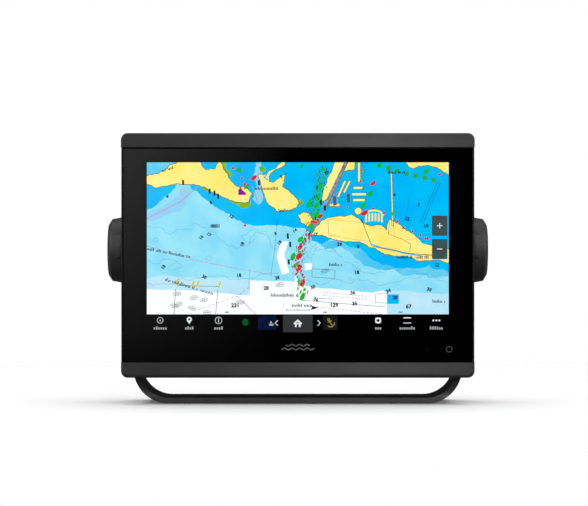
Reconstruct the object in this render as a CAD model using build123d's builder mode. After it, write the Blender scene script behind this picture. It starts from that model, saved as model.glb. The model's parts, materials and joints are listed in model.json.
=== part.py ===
from build123d import *

import os
from math import cos, pi, radians, sin

# Marine chartplotter display on a tilting bail bracket, built as separate pieces.
# Millimetres, +Z up, the screen faces -Y. The origin is the centre of the bail's four base holes, on the
# surface that the bail stands on. The display tilts about the X line at PIVOT_Z, y = 0.

os.makedirs("parts", exist_ok=True)

# Driving dimensions of the display: a 9-inch 16:9 screen sets everything else.
SCREEN_W, SCREEN_H = 199.2, 112.1  # active picture area
BODY_W, BODY_H = 232.8, 161.4  # over the bezel beside the glass, and over both trims
BODY_Z = 98.5  # height of the display's middle
SCREEN_UP = 5.4  # the picture sits above the middle of the body
GLASS_FRONT = -36.0  # depth of the glass's front face
FLANGE_BACK = -26.0  # back of the front bezel, which lies on a dash when flush mounted
STEP_BACK = 1.0  # outer face of the lower, connector half of the rear housing
HOUSING_BACK = 12.0  # outer face of the upper half
FIN_BACK = 17.0  # tips of the heat sink's fins

# Glass stack, from the front to the back. Each pair is (front, back) in y.
GLASS = (GLASS_FRONT, -34.2)
BORDER = (-34.17, -33.9)
TOUCH = (-33.85, -33.45)
LCD = (-33.15, -31.35)
BACKLIGHT = (-31.3, -29.4)
FOAM = (-29.35, -28.55)
BACK_PLATE_FRONT = -28.5
LIP_FRONT = -35.5  # bezel lip beside the glass
STRIP_FRONT = -34.6  # bezel face under the trims
GLASS_TOP, GLASS_BOTTOM = 70.6, -70.3  # from the middle of the body
GLASS_W = 230.6

# Trims, which clip over the top and bottom strips.
TRIM_FRONT, TRIM_BACK = -36.5, -26.2
TRIM_WALL = 1.6
TOP_TRIM_H, BOTTOM_TRIM_H = 9.3, 10.1
TOP_EDGE_R, BOTTOM_EDGE_R = 0.9, 2.5  # the rounding of each trim's outer front edge
TRIM_W = 233.3
TRIM_CORNER = 4.5
CLIP_X = (-84, -28, 28, 84)
CLIP_W, CLIP_T, CLIP_L = 6.0, 1.4, 6.0
FLUSH_X, FLUSH_Z, FLUSH_R = 104.0, 74.9, 2.1

# Rear housing.
HOUSING_W, HOUSING_H = 202.0, 136.0
HOUSING_CORNER = 12.0
WALL = 2.6
RIM, RIM_DEEP = 6.0, 4.0
STEP_Z = -20.0  # the connector recess is below this, from the middle of the body
CASE_SCREWS = [(x, z) for x in (-92, 92) for z in (-59, 59)] + [(0, -60), (0, 60)]
GASKET_INSET, GASKET_W, GASKET_D = 3.0, 2.4, 1.4
SINK_W, SINK_H, SINK_UP = 148.0, 68.0, 20.0
SINK_SCREWS = [
    (x * (SINK_W - 5) / 2, SINK_UP + z * (SINK_H - 5) / 2) for x in (-1, 1) for z in (-1, 1)
]
POSTS = [(x, z) for x in (-78, 78) for z in (-12, 48)]
VENT = (88, 40)

# Bail bracket and the pivot.
PIVOT_UP = 3.7  # the pivot is above the middle of the body
PIVOT_Z = BODY_Z + PIVOT_UP
BAIL_T = 3.8
BAIL_HALF = 109.9  # middle plane to an arm's outer face
BAIL_R = 24.5  # outer bend radius
BASE_FRONT, BASE_BACK = -22.0, 25.5
ARM_HALF = 13.0  # half of an arm's width at the pivot
SLANT_Z, SLANT_R = 5.5, 6.0  # where the front edge starts to slant back, and the radius of its two turns
SLOT_W = 10.0
KEY_T = 3.4  # how far a pivot disc's key reaches into its slot
BASE_HOLES_X, BASE_HOLES_Y, BASE_HOLE_R = 130.0, 26.0, 2.6
PAD_X = 103.0  # face of the housing's pivot pads
DISC_IN, DISC_OUT = PAD_X + 0.2, BAIL_HALF - BAIL_T - 0.2  # faces of a pivot disc, between pad and arm
WASHER_GAP, WASHER_T = 0.2, 1.6

# Clamp knobs on M8 studs.
STUD_R = 4.0
STUD_TIP, STUD_END = 90.0, 122.0
INSERT_IN = 88.0
KNOB_IN, KNOB_OUT, KNOB_R = 112.2, 127.0, 22.3
KNOB_LOBES = 8
GROOVE_R, GROOVE_DEEP = 4.0, 0.75  # grooves between the lobes
GROOVE_UP = 29.0  # degrees from straight ahead up to the first groove

# Card door in the connector recess.
DOOR_X, DOOR_W = 65.0, 40.0
DOOR_LOW, DOOR_TOP = -56.4, -32.0
HINGE_Y, HINGE_Z, HINGE_R, PIN_R = 3.8, -58.6, 2.2, 1.0
BAY_W, BAY_H, BAY_Z, BAY_FRONT = 35.0, 19.0, -44.0, -6.0

# Rear connectors: name, x, outer radius, socket radius, contacts.
CONNECTORS = [
    ("sonar_connector", -80, 9.5, 7.8, 12),
    ("power_connector", -56, 8.5, 6.9, 8),
    ("backbone_connector", -34, 6.0, 4.8, 5),
    ("network_connector_left", -12, 8.0, 6.5, 8),
    ("network_connector_right", 10, 8.0, 6.5, 8),
    ("video_connector", 30, 4.8, 4.0, 1),
]
CONNECTOR_Z = -44.0
SHELL_BACK, SOCKET_FLOOR, PIN_TIP = 13.2, 4.2, 8.2
BOARD = (-13.6, -12.0)
EPS = 0.02  # play between pieces that are fixed to each other


def layer(y):
    """A plane across the display at depth y: local x right, local y up from its middle, facing forwards."""
    return Plane(origin=(0, y, BODY_Z), x_dir=(1, 0, 0), z_dir=(0, -1, 0))


def thick(span):
    """The thickness of a (front, back) pair, which is extruded from its back plane to the front."""
    return span[1] - span[0]


def save(built, name):
    """Labels a finished piece and writes it."""
    built.part.label = name
    export_step(built.part, f"parts/{name}.step")


def on_side(side, x):
    """A plane square to the pivot line at distance x from the middle, with its normal pointing outwards."""
    return Plane(origin=(side * x, 0, PIVOT_Z), x_dir=(0, side, 0), z_dir=(side, 0, 0))


SIDES = {"left": -1, "right": 1}
GLASS_MID = (GLASS_TOP + GLASS_BOTTOM) / 2
GLASS_H = GLASS_TOP - GLASS_BOTTOM


# ---------------------------------------------------------------- bail bracket
with BuildPart() as bail_bracket:
    arm_top = PIVOT_Z + ARM_HALF
    with BuildSketch(Plane.XZ):
        for inset, mode in ((0, Mode.ADD), (BAIL_T, Mode.SUBTRACT)):
            half = BAIL_HALF - inset
            with BuildLine():
                bend = FilletPolyline(
                    (-half, arm_top), (-half, inset), (half, inset), (half, arm_top), radius=BAIL_R - inset
                )
                Line(bend @ 1, bend @ 0)
            make_face(mode=mode)
    extrude(amount=BASE_BACK, both=True)
    with BuildSketch(Plane.YZ):
        with BuildLine():
            Line((BASE_FRONT, 0), (BASE_BACK, 0))
            Line((BASE_BACK, 0), (BASE_BACK, 14))
            Spline((BASE_BACK, 14), (ARM_HALF, 72), tangents=((0, 1), (0, 1)))
            Line((ARM_HALF, 72), (ARM_HALF, PIVOT_Z))
            CenterArc((0, PIVOT_Z), ARM_HALF, 0, 180)
            # The front edge slants back just above the base, clear of the display when it tilts down.
            FilletPolyline(
                (-ARM_HALF, PIVOT_Z), (-ARM_HALF, 30), (BASE_FRONT, SLANT_Z), (BASE_FRONT, 0), radius=SLANT_R
            )
        make_face()
    extrude(amount=BAIL_HALF + 5, both=True, mode=Mode.INTERSECT)
    # Open slots, which let the display be lifted out once the knobs are slack.
    with BuildSketch(Plane.YZ):
        with Locations((0, PIVOT_Z + ARM_HALF)):
            Rectangle(SLOT_W, 2 * ARM_HALF)
        with Locations((0, PIVOT_Z)):
            Circle(SLOT_W / 2)
    extrude(amount=BAIL_HALF + 5, both=True, mode=Mode.SUBTRACT)
    slot_mouth = bail_bracket.edges().filter_by(Axis.X).group_by(Axis.Z)[-1]
    chamfer(slot_mouth, 1.2)
    with Locations((0, 0, BAIL_T)):
        with GridLocations(BASE_HOLES_X, BASE_HOLES_Y, 2, 2):
            CounterSinkHole(BASE_HOLE_R, 5.0, counter_sink_angle=90)
save(bail_bracket, "bail_bracket")


# ---------------------------------------------------------------- pivot discs, knobs and inserts
for name, side in SIDES.items():
    with BuildPart() as disc:
        with BuildSketch(on_side(side, DISC_IN)):
            Circle(12.3)
        extrude(amount=DISC_OUT - DISC_IN)
        with BuildSketch(on_side(side, DISC_OUT)):
            with Locations((0, 3)):
                Rectangle(SLOT_W - 0.5, 6)
            Circle(SLOT_W / 2 - 0.25)
        extrude(amount=KEY_T)
        with Locations(on_side(side, DISC_OUT + KEY_T)):
            Hole(STUD_R + 0.25)
    save(disc, f"{name}_pivot_disc")

    with BuildPart() as insert:
        with BuildSketch(on_side(side, INSERT_IN)):
            Circle(6 - EPS)
            Circle(STUD_R + 0.05, mode=Mode.SUBTRACT)
        extrude(amount=PAD_X - INSERT_IN - 0.1)
        with BuildSketch(on_side(side, INSERT_IN + 4)):
            Circle(6 - EPS)
            Circle(5.3, mode=Mode.SUBTRACT)
        extrude(amount=2, mode=Mode.SUBTRACT)
    save(insert, f"{name}_threaded_insert")

    with BuildPart() as washer:
        with BuildSketch(on_side(side, BAIL_HALF + WASHER_GAP)):
            Circle(14)
            Circle(STUD_R + 0.3, mode=Mode.SUBTRACT)
        extrude(amount=WASHER_T)
        chamfer(washer.edges().filter_by(GeomType.CIRCLE).group_by(SortBy.RADIUS)[-1], 0.4)
    save(washer, f"{name}_knob_washer")

    with BuildPart() as stud:
        with BuildSketch(on_side(side, STUD_TIP)):
            Circle(STUD_R)
        extrude(amount=STUD_END - STUD_TIP)
        chamfer(stud.faces().sort_by(Axis.X)[0 if side > 0 else -1].edges(), 0.8)
        with BuildSketch(on_side(side, STUD_END)):
            RegularPolygon(6.5, 6)
        extrude(amount=-5)
    save(stud, f"{name}_knob_stud")

    with BuildPart() as knob:
        with BuildSketch(Plane(origin=(0, 0, PIVOT_Z), x_dir=(side, 0, 0), z_dir=(0, -side, 0))):
            with BuildLine():
                Polyline(
                    (KNOB_OUT - 0.8, 0),
                    (KNOB_OUT - 0.8, 12.5),
                    (KNOB_OUT, 13.6),
                    (KNOB_OUT, 17.0),
                    (KNOB_OUT - 2.3, KNOB_R - 1.5),
                    (KNOB_OUT - 8.5, KNOB_R - 0.3),
                    (KNOB_IN + 0.8, KNOB_R),
                    (KNOB_IN, KNOB_R - 0.8),
                    (KNOB_IN, 0),
                    (KNOB_OUT - 0.8, 0),
                )
            make_face()
        revolve(axis=Axis((0, 0, PIVOT_Z), (side, 0, 0)))
        rims = knob.edges().filter_by(GeomType.CIRCLE).filter_by_position(
            Axis.X, *sorted((side * (KNOB_OUT - 3), side * (KNOB_OUT + 1)))
        )
        fillet(rims.group_by(SortBy.RADIUS)[-1] + rims.group_by(SortBy.RADIUS)[-2], 0.7)
        # Shallow grooves between broad grip lobes.
        with BuildSketch(on_side(side, KNOB_IN - 1)):
            Circle(KNOB_R + 1)
            first = GROOVE_UP if side < 0 else 180 - GROOVE_UP
            with PolarLocations(KNOB_R - GROOVE_DEEP + GROOVE_R, KNOB_LOBES, start_angle=first):
                Circle(GROOVE_R, mode=Mode.SUBTRACT)
        extrude(amount=KNOB_OUT - KNOB_IN + 2, mode=Mode.INTERSECT)
        # Moulded hollow behind the lobes, round the hub that grips the stud's head.
        with BuildSketch(on_side(side, KNOB_IN)):
            Circle(17)
            Circle(10, mode=Mode.SUBTRACT)
        extrude(amount=9, mode=Mode.SUBTRACT)
        with BuildSketch(on_side(side, KNOB_IN)):
            Circle(STUD_R + EPS)
        extrude(amount=STUD_END - KNOB_IN, mode=Mode.SUBTRACT)
        with BuildSketch(on_side(side, STUD_END + EPS)):
            RegularPolygon(6.5 + EPS, 6)
        extrude(amount=-5 - 2 * EPS, mode=Mode.SUBTRACT)
        with BuildSketch(on_side(side, KNOB_IN)):
            Circle(9)
            Circle(STUD_R + 0.3, mode=Mode.SUBTRACT)
        extrude(amount=-(KNOB_IN - BAIL_HALF - 2 * WASHER_GAP - WASHER_T))
    save(knob, f"{name}_knob")


# ---------------------------------------------------------------- glass, screen and what is bonded to it
with BuildPart() as cover_glass:
    with BuildSketch(layer(GLASS[1])):
        with Locations((0, GLASS_MID)):
            RectangleRounded(GLASS_W, GLASS_H, 1.2)
    extrude(amount=thick(GLASS))
    chamfer(cover_glass.faces().sort_by(Axis.Y)[0].edges(), 0.35)
save(cover_glass, "cover_glass")

KEY_X, SENSOR_X, KEY_Z = 99.9, 84.8, -61.8
with BuildPart() as glass_border:
    with BuildSketch(layer(BORDER[1])):
        with Locations((0, GLASS_MID)):
            RectangleRounded(GLASS_W - 0.4, GLASS_H - 0.4, 1.0)
        with Locations((0, SCREEN_UP)):
            Rectangle(SCREEN_W + 0.6, SCREEN_H + 0.6, mode=Mode.SUBTRACT)
        with Locations((SENSOR_X, KEY_Z)):
            Circle(1.1, mode=Mode.SUBTRACT)
    extrude(amount=thick(BORDER))
save(glass_border, "glass_border")

for name, span, width, height in (
    ("touch_panel", TOUCH, 208.0, 120.0),
    ("lcd_panel", LCD, 208.0, 120.0),
    ("backlight", BACKLIGHT, 208.0, 120.0),
):
    with BuildPart() as sheet:
        with BuildSketch(layer(span[1])):
            with Locations((0, SCREEN_UP)):
                RectangleRounded(width, height, 0.8)
        extrude(amount=thick(span))
    save(sheet, name)

OPENING_W, OPENING_H, OPENING_UP = 168.0, 96.0, 2.0
with BuildPart() as foam_frame:
    with BuildSketch(layer(FOAM[1])):
        with Locations((0, SCREEN_UP)):
            Rectangle(206, 118)
            Rectangle(180, 106, mode=Mode.SUBTRACT)
    extrude(amount=thick(FOAM))
save(foam_frame, "foam_frame")


# ---------------------------------------------------------------- front bezel
STRIP_HALF_W, STRIP_HALF_H = TRIM_W / 2 - TRIM_WALL - 0.3, BODY_H / 2 - TRIM_WALL - 0.3
LIP_TOP, LIP_BOTTOM = GLASS_TOP + 0.6, GLASS_BOTTOM - 0.1
with BuildPart() as front_bezel:
    with BuildSketch(layer(FLANGE_BACK)):
        RectangleRounded(2 * STRIP_HALF_W, 2 * STRIP_HALF_H, TRIM_CORNER - TRIM_WALL)
    extrude(amount=FLANGE_BACK - STRIP_FRONT)
    with BuildSketch(layer(FLANGE_BACK)):
        with Locations((0, (LIP_TOP + LIP_BOTTOM) / 2)):
            Rectangle(BODY_W, LIP_TOP - LIP_BOTTOM)
    extrude(amount=FLANGE_BACK - LIP_FRONT)
    lip_edges = front_bezel.edges().filter_by(Axis.Z).group_by(SortBy.LENGTH)[-1]
    fillet([e for e in lip_edges if abs(e.center().Y - LIP_FRONT) < 0.1], 0.4)
    # Pocket for the glass, cavity for the screen, and the window through the back plate.
    with BuildSketch(layer(BORDER[1])):
        with Locations((0, (GLASS_TOP + 0.2 + LIP_BOTTOM - 1) / 2)):
            Rectangle(GLASS_W + 0.4, GLASS_TOP + 0.2 - LIP_BOTTOM + 1)
    extrude(amount=5, mode=Mode.SUBTRACT)
    with BuildSketch(layer(BACK_PLATE_FRONT)):
        with Locations((0, SCREEN_UP)):
            Rectangle(209, 121)
    extrude(amount=BACK_PLATE_FRONT - BORDER[1], mode=Mode.SUBTRACT)
    with BuildSketch(layer(FLANGE_BACK)):
        with Locations((0, OPENING_UP)):
            RectangleRounded(OPENING_W, OPENING_H, 6)
    extrude(amount=5, mode=Mode.SUBTRACT)
    # Groove for the housing gasket.
    with BuildSketch(layer(FLANGE_BACK)):
        for inset, mode in (
            (GASKET_INSET - GASKET_W / 2, Mode.ADD),
            (GASKET_INSET + GASKET_W / 2, Mode.SUBTRACT),
        ):
            RectangleRounded(
                HOUSING_W - 2 * inset, HOUSING_H - 2 * inset, HOUSING_CORNER - inset, mode=mode
            )
    extrude(amount=GASKET_D, mode=Mode.SUBTRACT)
    # Tapped holes for the case screws, and the flush-mount holes that the trims hide.
    with BuildSketch(layer(FLANGE_BACK)):
        with Locations(*CASE_SCREWS):
            Circle(1.5 + EPS)
    extrude(amount=4, mode=Mode.SUBTRACT)
    with BuildSketch(layer(FLANGE_BACK)):
        with GridLocations(2 * FLUSH_X, 2 * FLUSH_Z, 2, 2):
            Circle(FLUSH_R)
    extrude(amount=12, mode=Mode.SUBTRACT)
    with BuildSketch(layer(STRIP_FRONT + 2.5)):
        with GridLocations(2 * FLUSH_X, 2 * FLUSH_Z, 2, 2):
            Circle(3.6)
    extrude(amount=5, mode=Mode.SUBTRACT)
    # Slots for the trims' clips.
    with BuildSketch(layer(FLANGE_BACK)):
        with Locations(*[(x, z) for x in CLIP_X for z in (-FLUSH_Z, FLUSH_Z)]):
            Rectangle(CLIP_W + 0.8, CLIP_T + 1.4)
    extrude(amount=12, mode=Mode.SUBTRACT)
    # Pocket for the power key's board, and the slot for its ribbon.
    with BuildSketch(layer(-29.8)):
        with Locations(((KEY_X + SENSOR_X) / 2, KEY_Z)):
            Rectangle(26, 8)
    extrude(amount=5, mode=Mode.SUBTRACT)
    with BuildSketch(layer(FLANGE_BACK)):
        with Locations((80, -58)):
            Rectangle(8, 1.6)
    extrude(amount=3.9, mode=Mode.SUBTRACT)
save(front_bezel, "front_bezel")


# ---------------------------------------------------------------- clip-on trims
for name, up, height, edge_r in (
    ("top_trim", 1, TOP_TRIM_H, TOP_EDGE_R),
    ("bottom_trim", -1, BOTTOM_TRIM_H, BOTTOM_EDGE_R),
):
    edge = up * BODY_H / 2
    with BuildPart() as trim:
        with BuildSketch(layer(TRIM_BACK)) as cap:
            with Locations((0, edge - up * height / 2)):
                Rectangle(TRIM_W, height)
            corners = cap.vertices().group_by(Axis.Y)[-1 if up > 0 else 0]
            fillet(corners, TRIM_CORNER)
        extrude(amount=TRIM_BACK - TRIM_FRONT)
        front_edges = trim.faces().sort_by(Axis.Y)[0].edges()
        outer_edges = [
            e for e in front_edges if abs(e.center().Z - BODY_Z) > abs(edge) - height + 0.1
        ]
        fillet(outer_edges, edge_r)
        with BuildSketch(layer(TRIM_BACK)) as hollow:
            with Locations((0, edge - up * (TRIM_WALL + height / 2))):
                Rectangle(TRIM_W - 2 * TRIM_WALL, height)
            fillet(
                hollow.vertices().group_by(Axis.Y)[-1 if up > 0 else 0], TRIM_CORNER - TRIM_WALL
            )
        extrude(amount=TRIM_BACK - TRIM_FRONT - TRIM_WALL, mode=Mode.SUBTRACT)
        with BuildSketch(layer(TRIM_FRONT + TRIM_WALL)):
            with Locations(*[(x, up * FLUSH_Z) for x in CLIP_X]):
                Rectangle(CLIP_W, CLIP_T)
        extrude(amount=-CLIP_L)
        with BuildSketch(layer(TRIM_FRONT + TRIM_WALL + CLIP_L)):
            with Locations(*[(x, up * (FLUSH_Z + 0.2)) for x in CLIP_X]):
                Rectangle(CLIP_W, CLIP_T + 0.4)
        extrude(amount=1.2)
    save(trim, name)


# ---------------------------------------------------------------- rear housing
with BuildPart() as rear_housing:
    with BuildSketch(layer(STEP_BACK)):
        RectangleRounded(HOUSING_W, HOUSING_H, HOUSING_CORNER)
    extrude(amount=STEP_BACK - FLANGE_BACK)
    with BuildSketch(layer(HOUSING_BACK)) as upper:
        with Locations((0, (HOUSING_H / 2 + STEP_Z) / 2)):
            Rectangle(HOUSING_W, HOUSING_H / 2 - STEP_Z)
        fillet(upper.vertices().group_by(Axis.Y)[-1], HOUSING_CORNER)
        fillet(upper.vertices().group_by(Axis.Y)[0], 4)
    extrude(amount=HOUSING_BACK - STEP_BACK)
    fillet(rear_housing.faces().sort_by(Axis.Y)[-1].edges(), 3.5)
    low_rim = [
        e
        for e in rear_housing.edges()
        if abs(e.center().Y - STEP_BACK) < 0.01 and e.center().Z < BODY_Z + STEP_Z - 8
    ]
    fillet(low_rim, 2)
    # Pads outside and bosses inside, which carry the threaded inserts.
    for side in SIDES.values():
        with BuildSketch(on_side(side, PAD_X)):
            Circle(HOUSING_BACK - 0.1)
        extrude(amount=-4)
    # Hollow, with a thick rim for the gasket.
    with BuildSketch(layer(FLANGE_BACK + RIM_DEEP)):
        RectangleRounded(HOUSING_W - 2 * RIM, HOUSING_H - 2 * RIM, HOUSING_CORNER - RIM)
    extrude(amount=RIM_DEEP, mode=Mode.SUBTRACT)
    with BuildSketch(layer(STEP_BACK - WALL)):
        RectangleRounded(HOUSING_W - 2 * WALL, HOUSING_H - 2 * WALL, HOUSING_CORNER - WALL)
    extrude(amount=STEP_BACK - WALL - FLANGE_BACK - RIM_DEEP, mode=Mode.SUBTRACT)
    with BuildSketch(layer(HOUSING_BACK - 3.2)) as upper_hollow:
        with Locations((0, (HOUSING_H / 2 + STEP_Z) / 2)):
            Rectangle(HOUSING_W - 2 * WALL, HOUSING_H / 2 - STEP_Z - 2 * WALL)
        fillet(upper_hollow.vertices().group_by(Axis.Y)[-1], HOUSING_CORNER - WALL)
        fillet(upper_hollow.vertices().group_by(Axis.Y)[0], 2)
    extrude(amount=HOUSING_BACK - 3.2 - STEP_BACK + WALL, mode=Mode.SUBTRACT)
    for side in SIDES.values():
        with BuildSketch(on_side(side, HOUSING_W / 2 - 1)):
            Circle(8.4)
        extrude(amount=-(HOUSING_W / 2 - 1 - INSERT_IN))
        with BuildSketch(on_side(side, PAD_X + 1)):
            Circle(6)
        extrude(amount=-(PAD_X + 1 - INSERT_IN), mode=Mode.SUBTRACT)
    # Case screw tubes.
    for x, z in CASE_SCREWS:
        back = HOUSING_BACK if z > 0 else STEP_BACK
        with BuildSketch(layer(back - 1)):
            with Locations((x, z)):
                Circle(4.6)
        extrude(amount=back - 1 - FLANGE_BACK)
        with BuildSketch(layer(back + 1)):
            with Locations((x, z)):
                Circle(3.1)
        extrude(amount=back + 1 + 19, mode=Mode.SUBTRACT)
        with BuildSketch(layer(-18)):
            with Locations((x, z)):
                Circle(1.7)
        extrude(amount=12, mode=Mode.SUBTRACT)
    # Posts for the main board.
    with BuildSketch(layer(HOUSING_BACK - 2)):
        with Locations(*POSTS):
            Circle(3)
    extrude(amount=HOUSING_BACK - 2 - BOARD[1])
    with BuildSketch(layer(-4)):
        with Locations(*POSTS):
            Circle(1.25 + EPS)
    extrude(amount=-4 - BOARD[1], mode=Mode.SUBTRACT)
    # Recess and window for the heat sink.
    with BuildSketch(layer(HOUSING_BACK + 1)):
        with Locations((0, SINK_UP)):
            RectangleRounded(SINK_W, SINK_H, 4)
    extrude(amount=2.8, mode=Mode.SUBTRACT)
    with BuildSketch(layer(HOUSING_BACK + 1)):
        with Locations((0, SINK_UP)):
            RectangleRounded(SINK_W - 12, SINK_H - 12, 3)
    extrude(amount=6, mode=Mode.SUBTRACT)
    with BuildSketch(layer(HOUSING_BACK - 3)):
        with Locations(*SINK_SCREWS):
            Circle(3.4)
    extrude(amount=4)
    with BuildSketch(layer(HOUSING_BACK)):
        with Locations(*SINK_SCREWS):
            Circle(1.25 + EPS)
    extrude(amount=5, mode=Mode.SUBTRACT)
    # Holes for the connectors and the vent.
    with BuildSketch(layer(STEP_BACK + 1)):
        for _, x, outer, _, _ in CONNECTORS:
            with Locations((x, CONNECTOR_Z)):
                Circle(outer - 1.4)
    extrude(amount=6, mode=Mode.SUBTRACT)
    with BuildSketch(layer(HOUSING_BACK + 1)):
        with Locations(VENT):
            Circle(2.5)
    extrude(amount=6, mode=Mode.SUBTRACT)
    # Card bay, and lugs for its door.
    with BuildSketch(layer(STEP_BACK - 1)):
        with Locations((DOOR_X, BAY_Z)):
            RectangleRounded(BAY_W + 4, BAY_H + 4, 3)
    extrude(amount=STEP_BACK - 1 - BAY_FRONT)
    with BuildSketch(layer(STEP_BACK + 1)):
        with Locations((DOOR_X, BAY_Z)):
            RectangleRounded(BAY_W, BAY_H, 1.5)
    extrude(amount=STEP_BACK + 2 - BAY_FRONT, mode=Mode.SUBTRACT)
    for x in (DOOR_X - DOOR_W / 2 - 2, DOOR_X + DOOR_W / 2 + 2):
        with BuildSketch(Plane.YZ.offset(x - 1.4)):
            with Locations((HINGE_Y, BODY_Z + HINGE_Z)):
                Circle(HINGE_R)
            with Locations(((HINGE_Y + STEP_BACK - 0.5) / 2, BODY_Z + HINGE_Z)):
                Rectangle(HINGE_Y - STEP_BACK + 0.5, 2 * HINGE_R)
            with Locations((HINGE_Y, BODY_Z + HINGE_Z)):
                Circle(PIN_R + EPS, mode=Mode.SUBTRACT)
        extrude(amount=2.8)
save(rear_housing, "rear_housing")

with BuildPart() as housing_gasket:
    with BuildSketch(layer(FLANGE_BACK)):
        for inset, mode in (
            (GASKET_INSET - GASKET_W / 2 + 0.1, Mode.ADD),
            (GASKET_INSET + GASKET_W / 2 - 0.1, Mode.SUBTRACT),
        ):
            RectangleRounded(
                HOUSING_W - 2 * inset, HOUSING_H - 2 * inset, HOUSING_CORNER - inset, mode=mode
            )
    extrude(amount=GASKET_D - 0.05)
save(housing_gasket, "housing_gasket")


# ---------------------------------------------------------------- screws
def screws(name, places, head_back, head_r, head_t, shank_r, tip, recess_r=None):
    """Cross-recess screws driven from the back: heads at head_back, tips at tip, one solid at each place."""
    with BuildPart() as group:
        with BuildSketch(layer(head_back)):
            with Locations(*places):
                Circle(head_r)
        extrude(amount=head_t)
        with BuildSketch(layer(head_back + 0.001 - head_t)):
            with Locations(*places):
                Circle(shank_r)
        extrude(amount=head_back - head_t - tip)
        with BuildSketch(layer(head_back)):
            with Locations(*places):
                Rectangle(head_r * 1.1, head_r * 0.28)
                Rectangle(head_r * 0.28, head_r * 1.1)
        extrude(amount=head_t * 0.5, mode=Mode.SUBTRACT)
    save(group, name)


screws("housing_screws", CASE_SCREWS, -15.6, 2.8, 2.3, 1.5, -28.3)
screws("heat_sink_screws", SINK_SCREWS, 13.9, 2.2, 1.6, 1.25, 8.0)

with BuildPart() as board_screws:
    with BuildSketch(layer(BOARD[0])):
        with Locations(*POSTS):
            Circle(2.4)
    extrude(amount=1.8)
    with BuildSketch(layer(BOARD[0] + 5.5)):
        with Locations(*POSTS):
            Circle(1.25)
    extrude(amount=5.6)
save(board_screws, "board_screws")


# ---------------------------------------------------------------- heat sink
BASE = (10.7, 12.3)
with BuildPart() as heat_sink:
    with BuildSketch(layer(BASE[1])):
        with Locations((0, SINK_UP)):
            RectangleRounded(SINK_W - 0.4, SINK_H - 0.4, 3.8)
    extrude(amount=thick(BASE))
    with BuildSketch(layer(FIN_BACK)):
        with Locations((0, SINK_UP)):
            with GridLocations(6.2, 1, 23, 1):
                RectangleRounded(1.8, SINK_H - 8, 0.85)
    extrude(amount=FIN_BACK - BASE[1] + 0.5)
    with BuildSketch(layer(BASE[0] + 0.5)):
        with Locations((-8, 14)):
            RectangleRounded(54, 42, 3)
    extrude(amount=BASE[0] + 0.5 + 4.6)
    with BuildSketch(layer(FIN_BACK + 1)):
        with Locations(*SINK_SCREWS):
            Circle(2.6)
    extrude(amount=FIN_BACK + 1 - BASE[1], mode=Mode.SUBTRACT)
    with BuildSketch(layer(FIN_BACK + 1)):
        with Locations(*SINK_SCREWS):
            Circle(1.25 + EPS)
    extrude(amount=10, mode=Mode.SUBTRACT)
save(heat_sink, "heat_sink")

with BuildPart() as heat_sink_gasket:
    with BuildSketch(layer(BASE[0])):
        with Locations((0, SINK_UP)):
            RectangleRounded(SINK_W - 8.2, SINK_H - 8.2, 3.8)
            RectangleRounded(SINK_W - 11.4, SINK_H - 11.4, 3, mode=Mode.SUBTRACT)
    extrude(amount=0.5)
save(heat_sink_gasket, "heat_sink_gasket")

with BuildPart() as thermal_pad:
    with BuildSketch(layer(-4.65)):
        with Locations((-8, 14)):
            Rectangle(40, 34)
    extrude(amount=1.3)
save(thermal_pad, "thermal_pad")


# ---------------------------------------------------------------- electronics
with BuildPart() as main_board:
    with BuildSketch(layer(BOARD[1])):
        RectangleRounded(172, 112, 3)
        with Locations((0, -58), (0, 58)):
            Circle(6.5, mode=Mode.SUBTRACT)
        with Locations(*POSTS):
            Circle(1.4, mode=Mode.SUBTRACT)
        with GridLocations(172, 112, 2, 2):
            Circle(9, mode=Mode.SUBTRACT)
    extrude(amount=thick(BOARD))
save(main_board, "main_board")

with BuildPart() as processor_shield:
    with BuildSketch(layer(-6)):
        with Locations((-8, 14)):
            RectangleRounded(46, 38, 1.5)
    extrude(amount=-6 - BOARD[1])
    with BuildSketch(layer(-6.4)):
        with Locations((-8, 14)):
            Rectangle(45, 37)
    extrude(amount=-6.4 - BOARD[1], mode=Mode.SUBTRACT)
save(processor_shield, "processor_shield")

with BuildPart() as power_components:
    with BuildSketch(layer(-1.5)):
        with Locations((40, 30), (50.5, 30), (61, 30)):
            Circle(4)
    extrude(amount=-1.5 - BOARD[1])
    with BuildSketch(layer(-7)):
        with Locations((44, 12), (58, 12)):
            RectangleRounded(11, 11, 1.5)
    extrude(amount=-7 - BOARD[1])
    with BuildSketch(layer(-8.5)):
        with Locations((-52, 0), (-52, 18), (32, -10)):
            Rectangle(12, 9)
    extrude(amount=-8.5 - BOARD[1])
save(power_components, "power_components")

with BuildPart() as beeper:
    with BuildSketch(layer(-7)):
        with Locations((-62, 34)):
            Circle(6)
            Circle(1, mode=Mode.SUBTRACT)
    extrude(amount=-7 - BOARD[1])
save(beeper, "beeper")

# The antennas' small boards are soldered square to the main board, near its top edge, and look upwards.
ANTENNA_Z = BODY_Z + 55.8
with BuildPart() as gnss_antenna:
    with BuildSketch(Plane.XY.offset(ANTENNA_Z)):
        with Locations((-40, BOARD[1])):
            Rectangle(20, 19, align=(Align.CENTER, Align.MIN))
    extrude(amount=-1)
    with BuildSketch(Plane.XY.offset(ANTENNA_Z)):
        with Locations((-40, BOARD[1] + 1)):
            RectangleRounded(18, 17, 0.5, align=(Align.CENTER, Align.MIN))
    extrude(amount=4)
save(gnss_antenna, "gnss_antenna")

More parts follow.
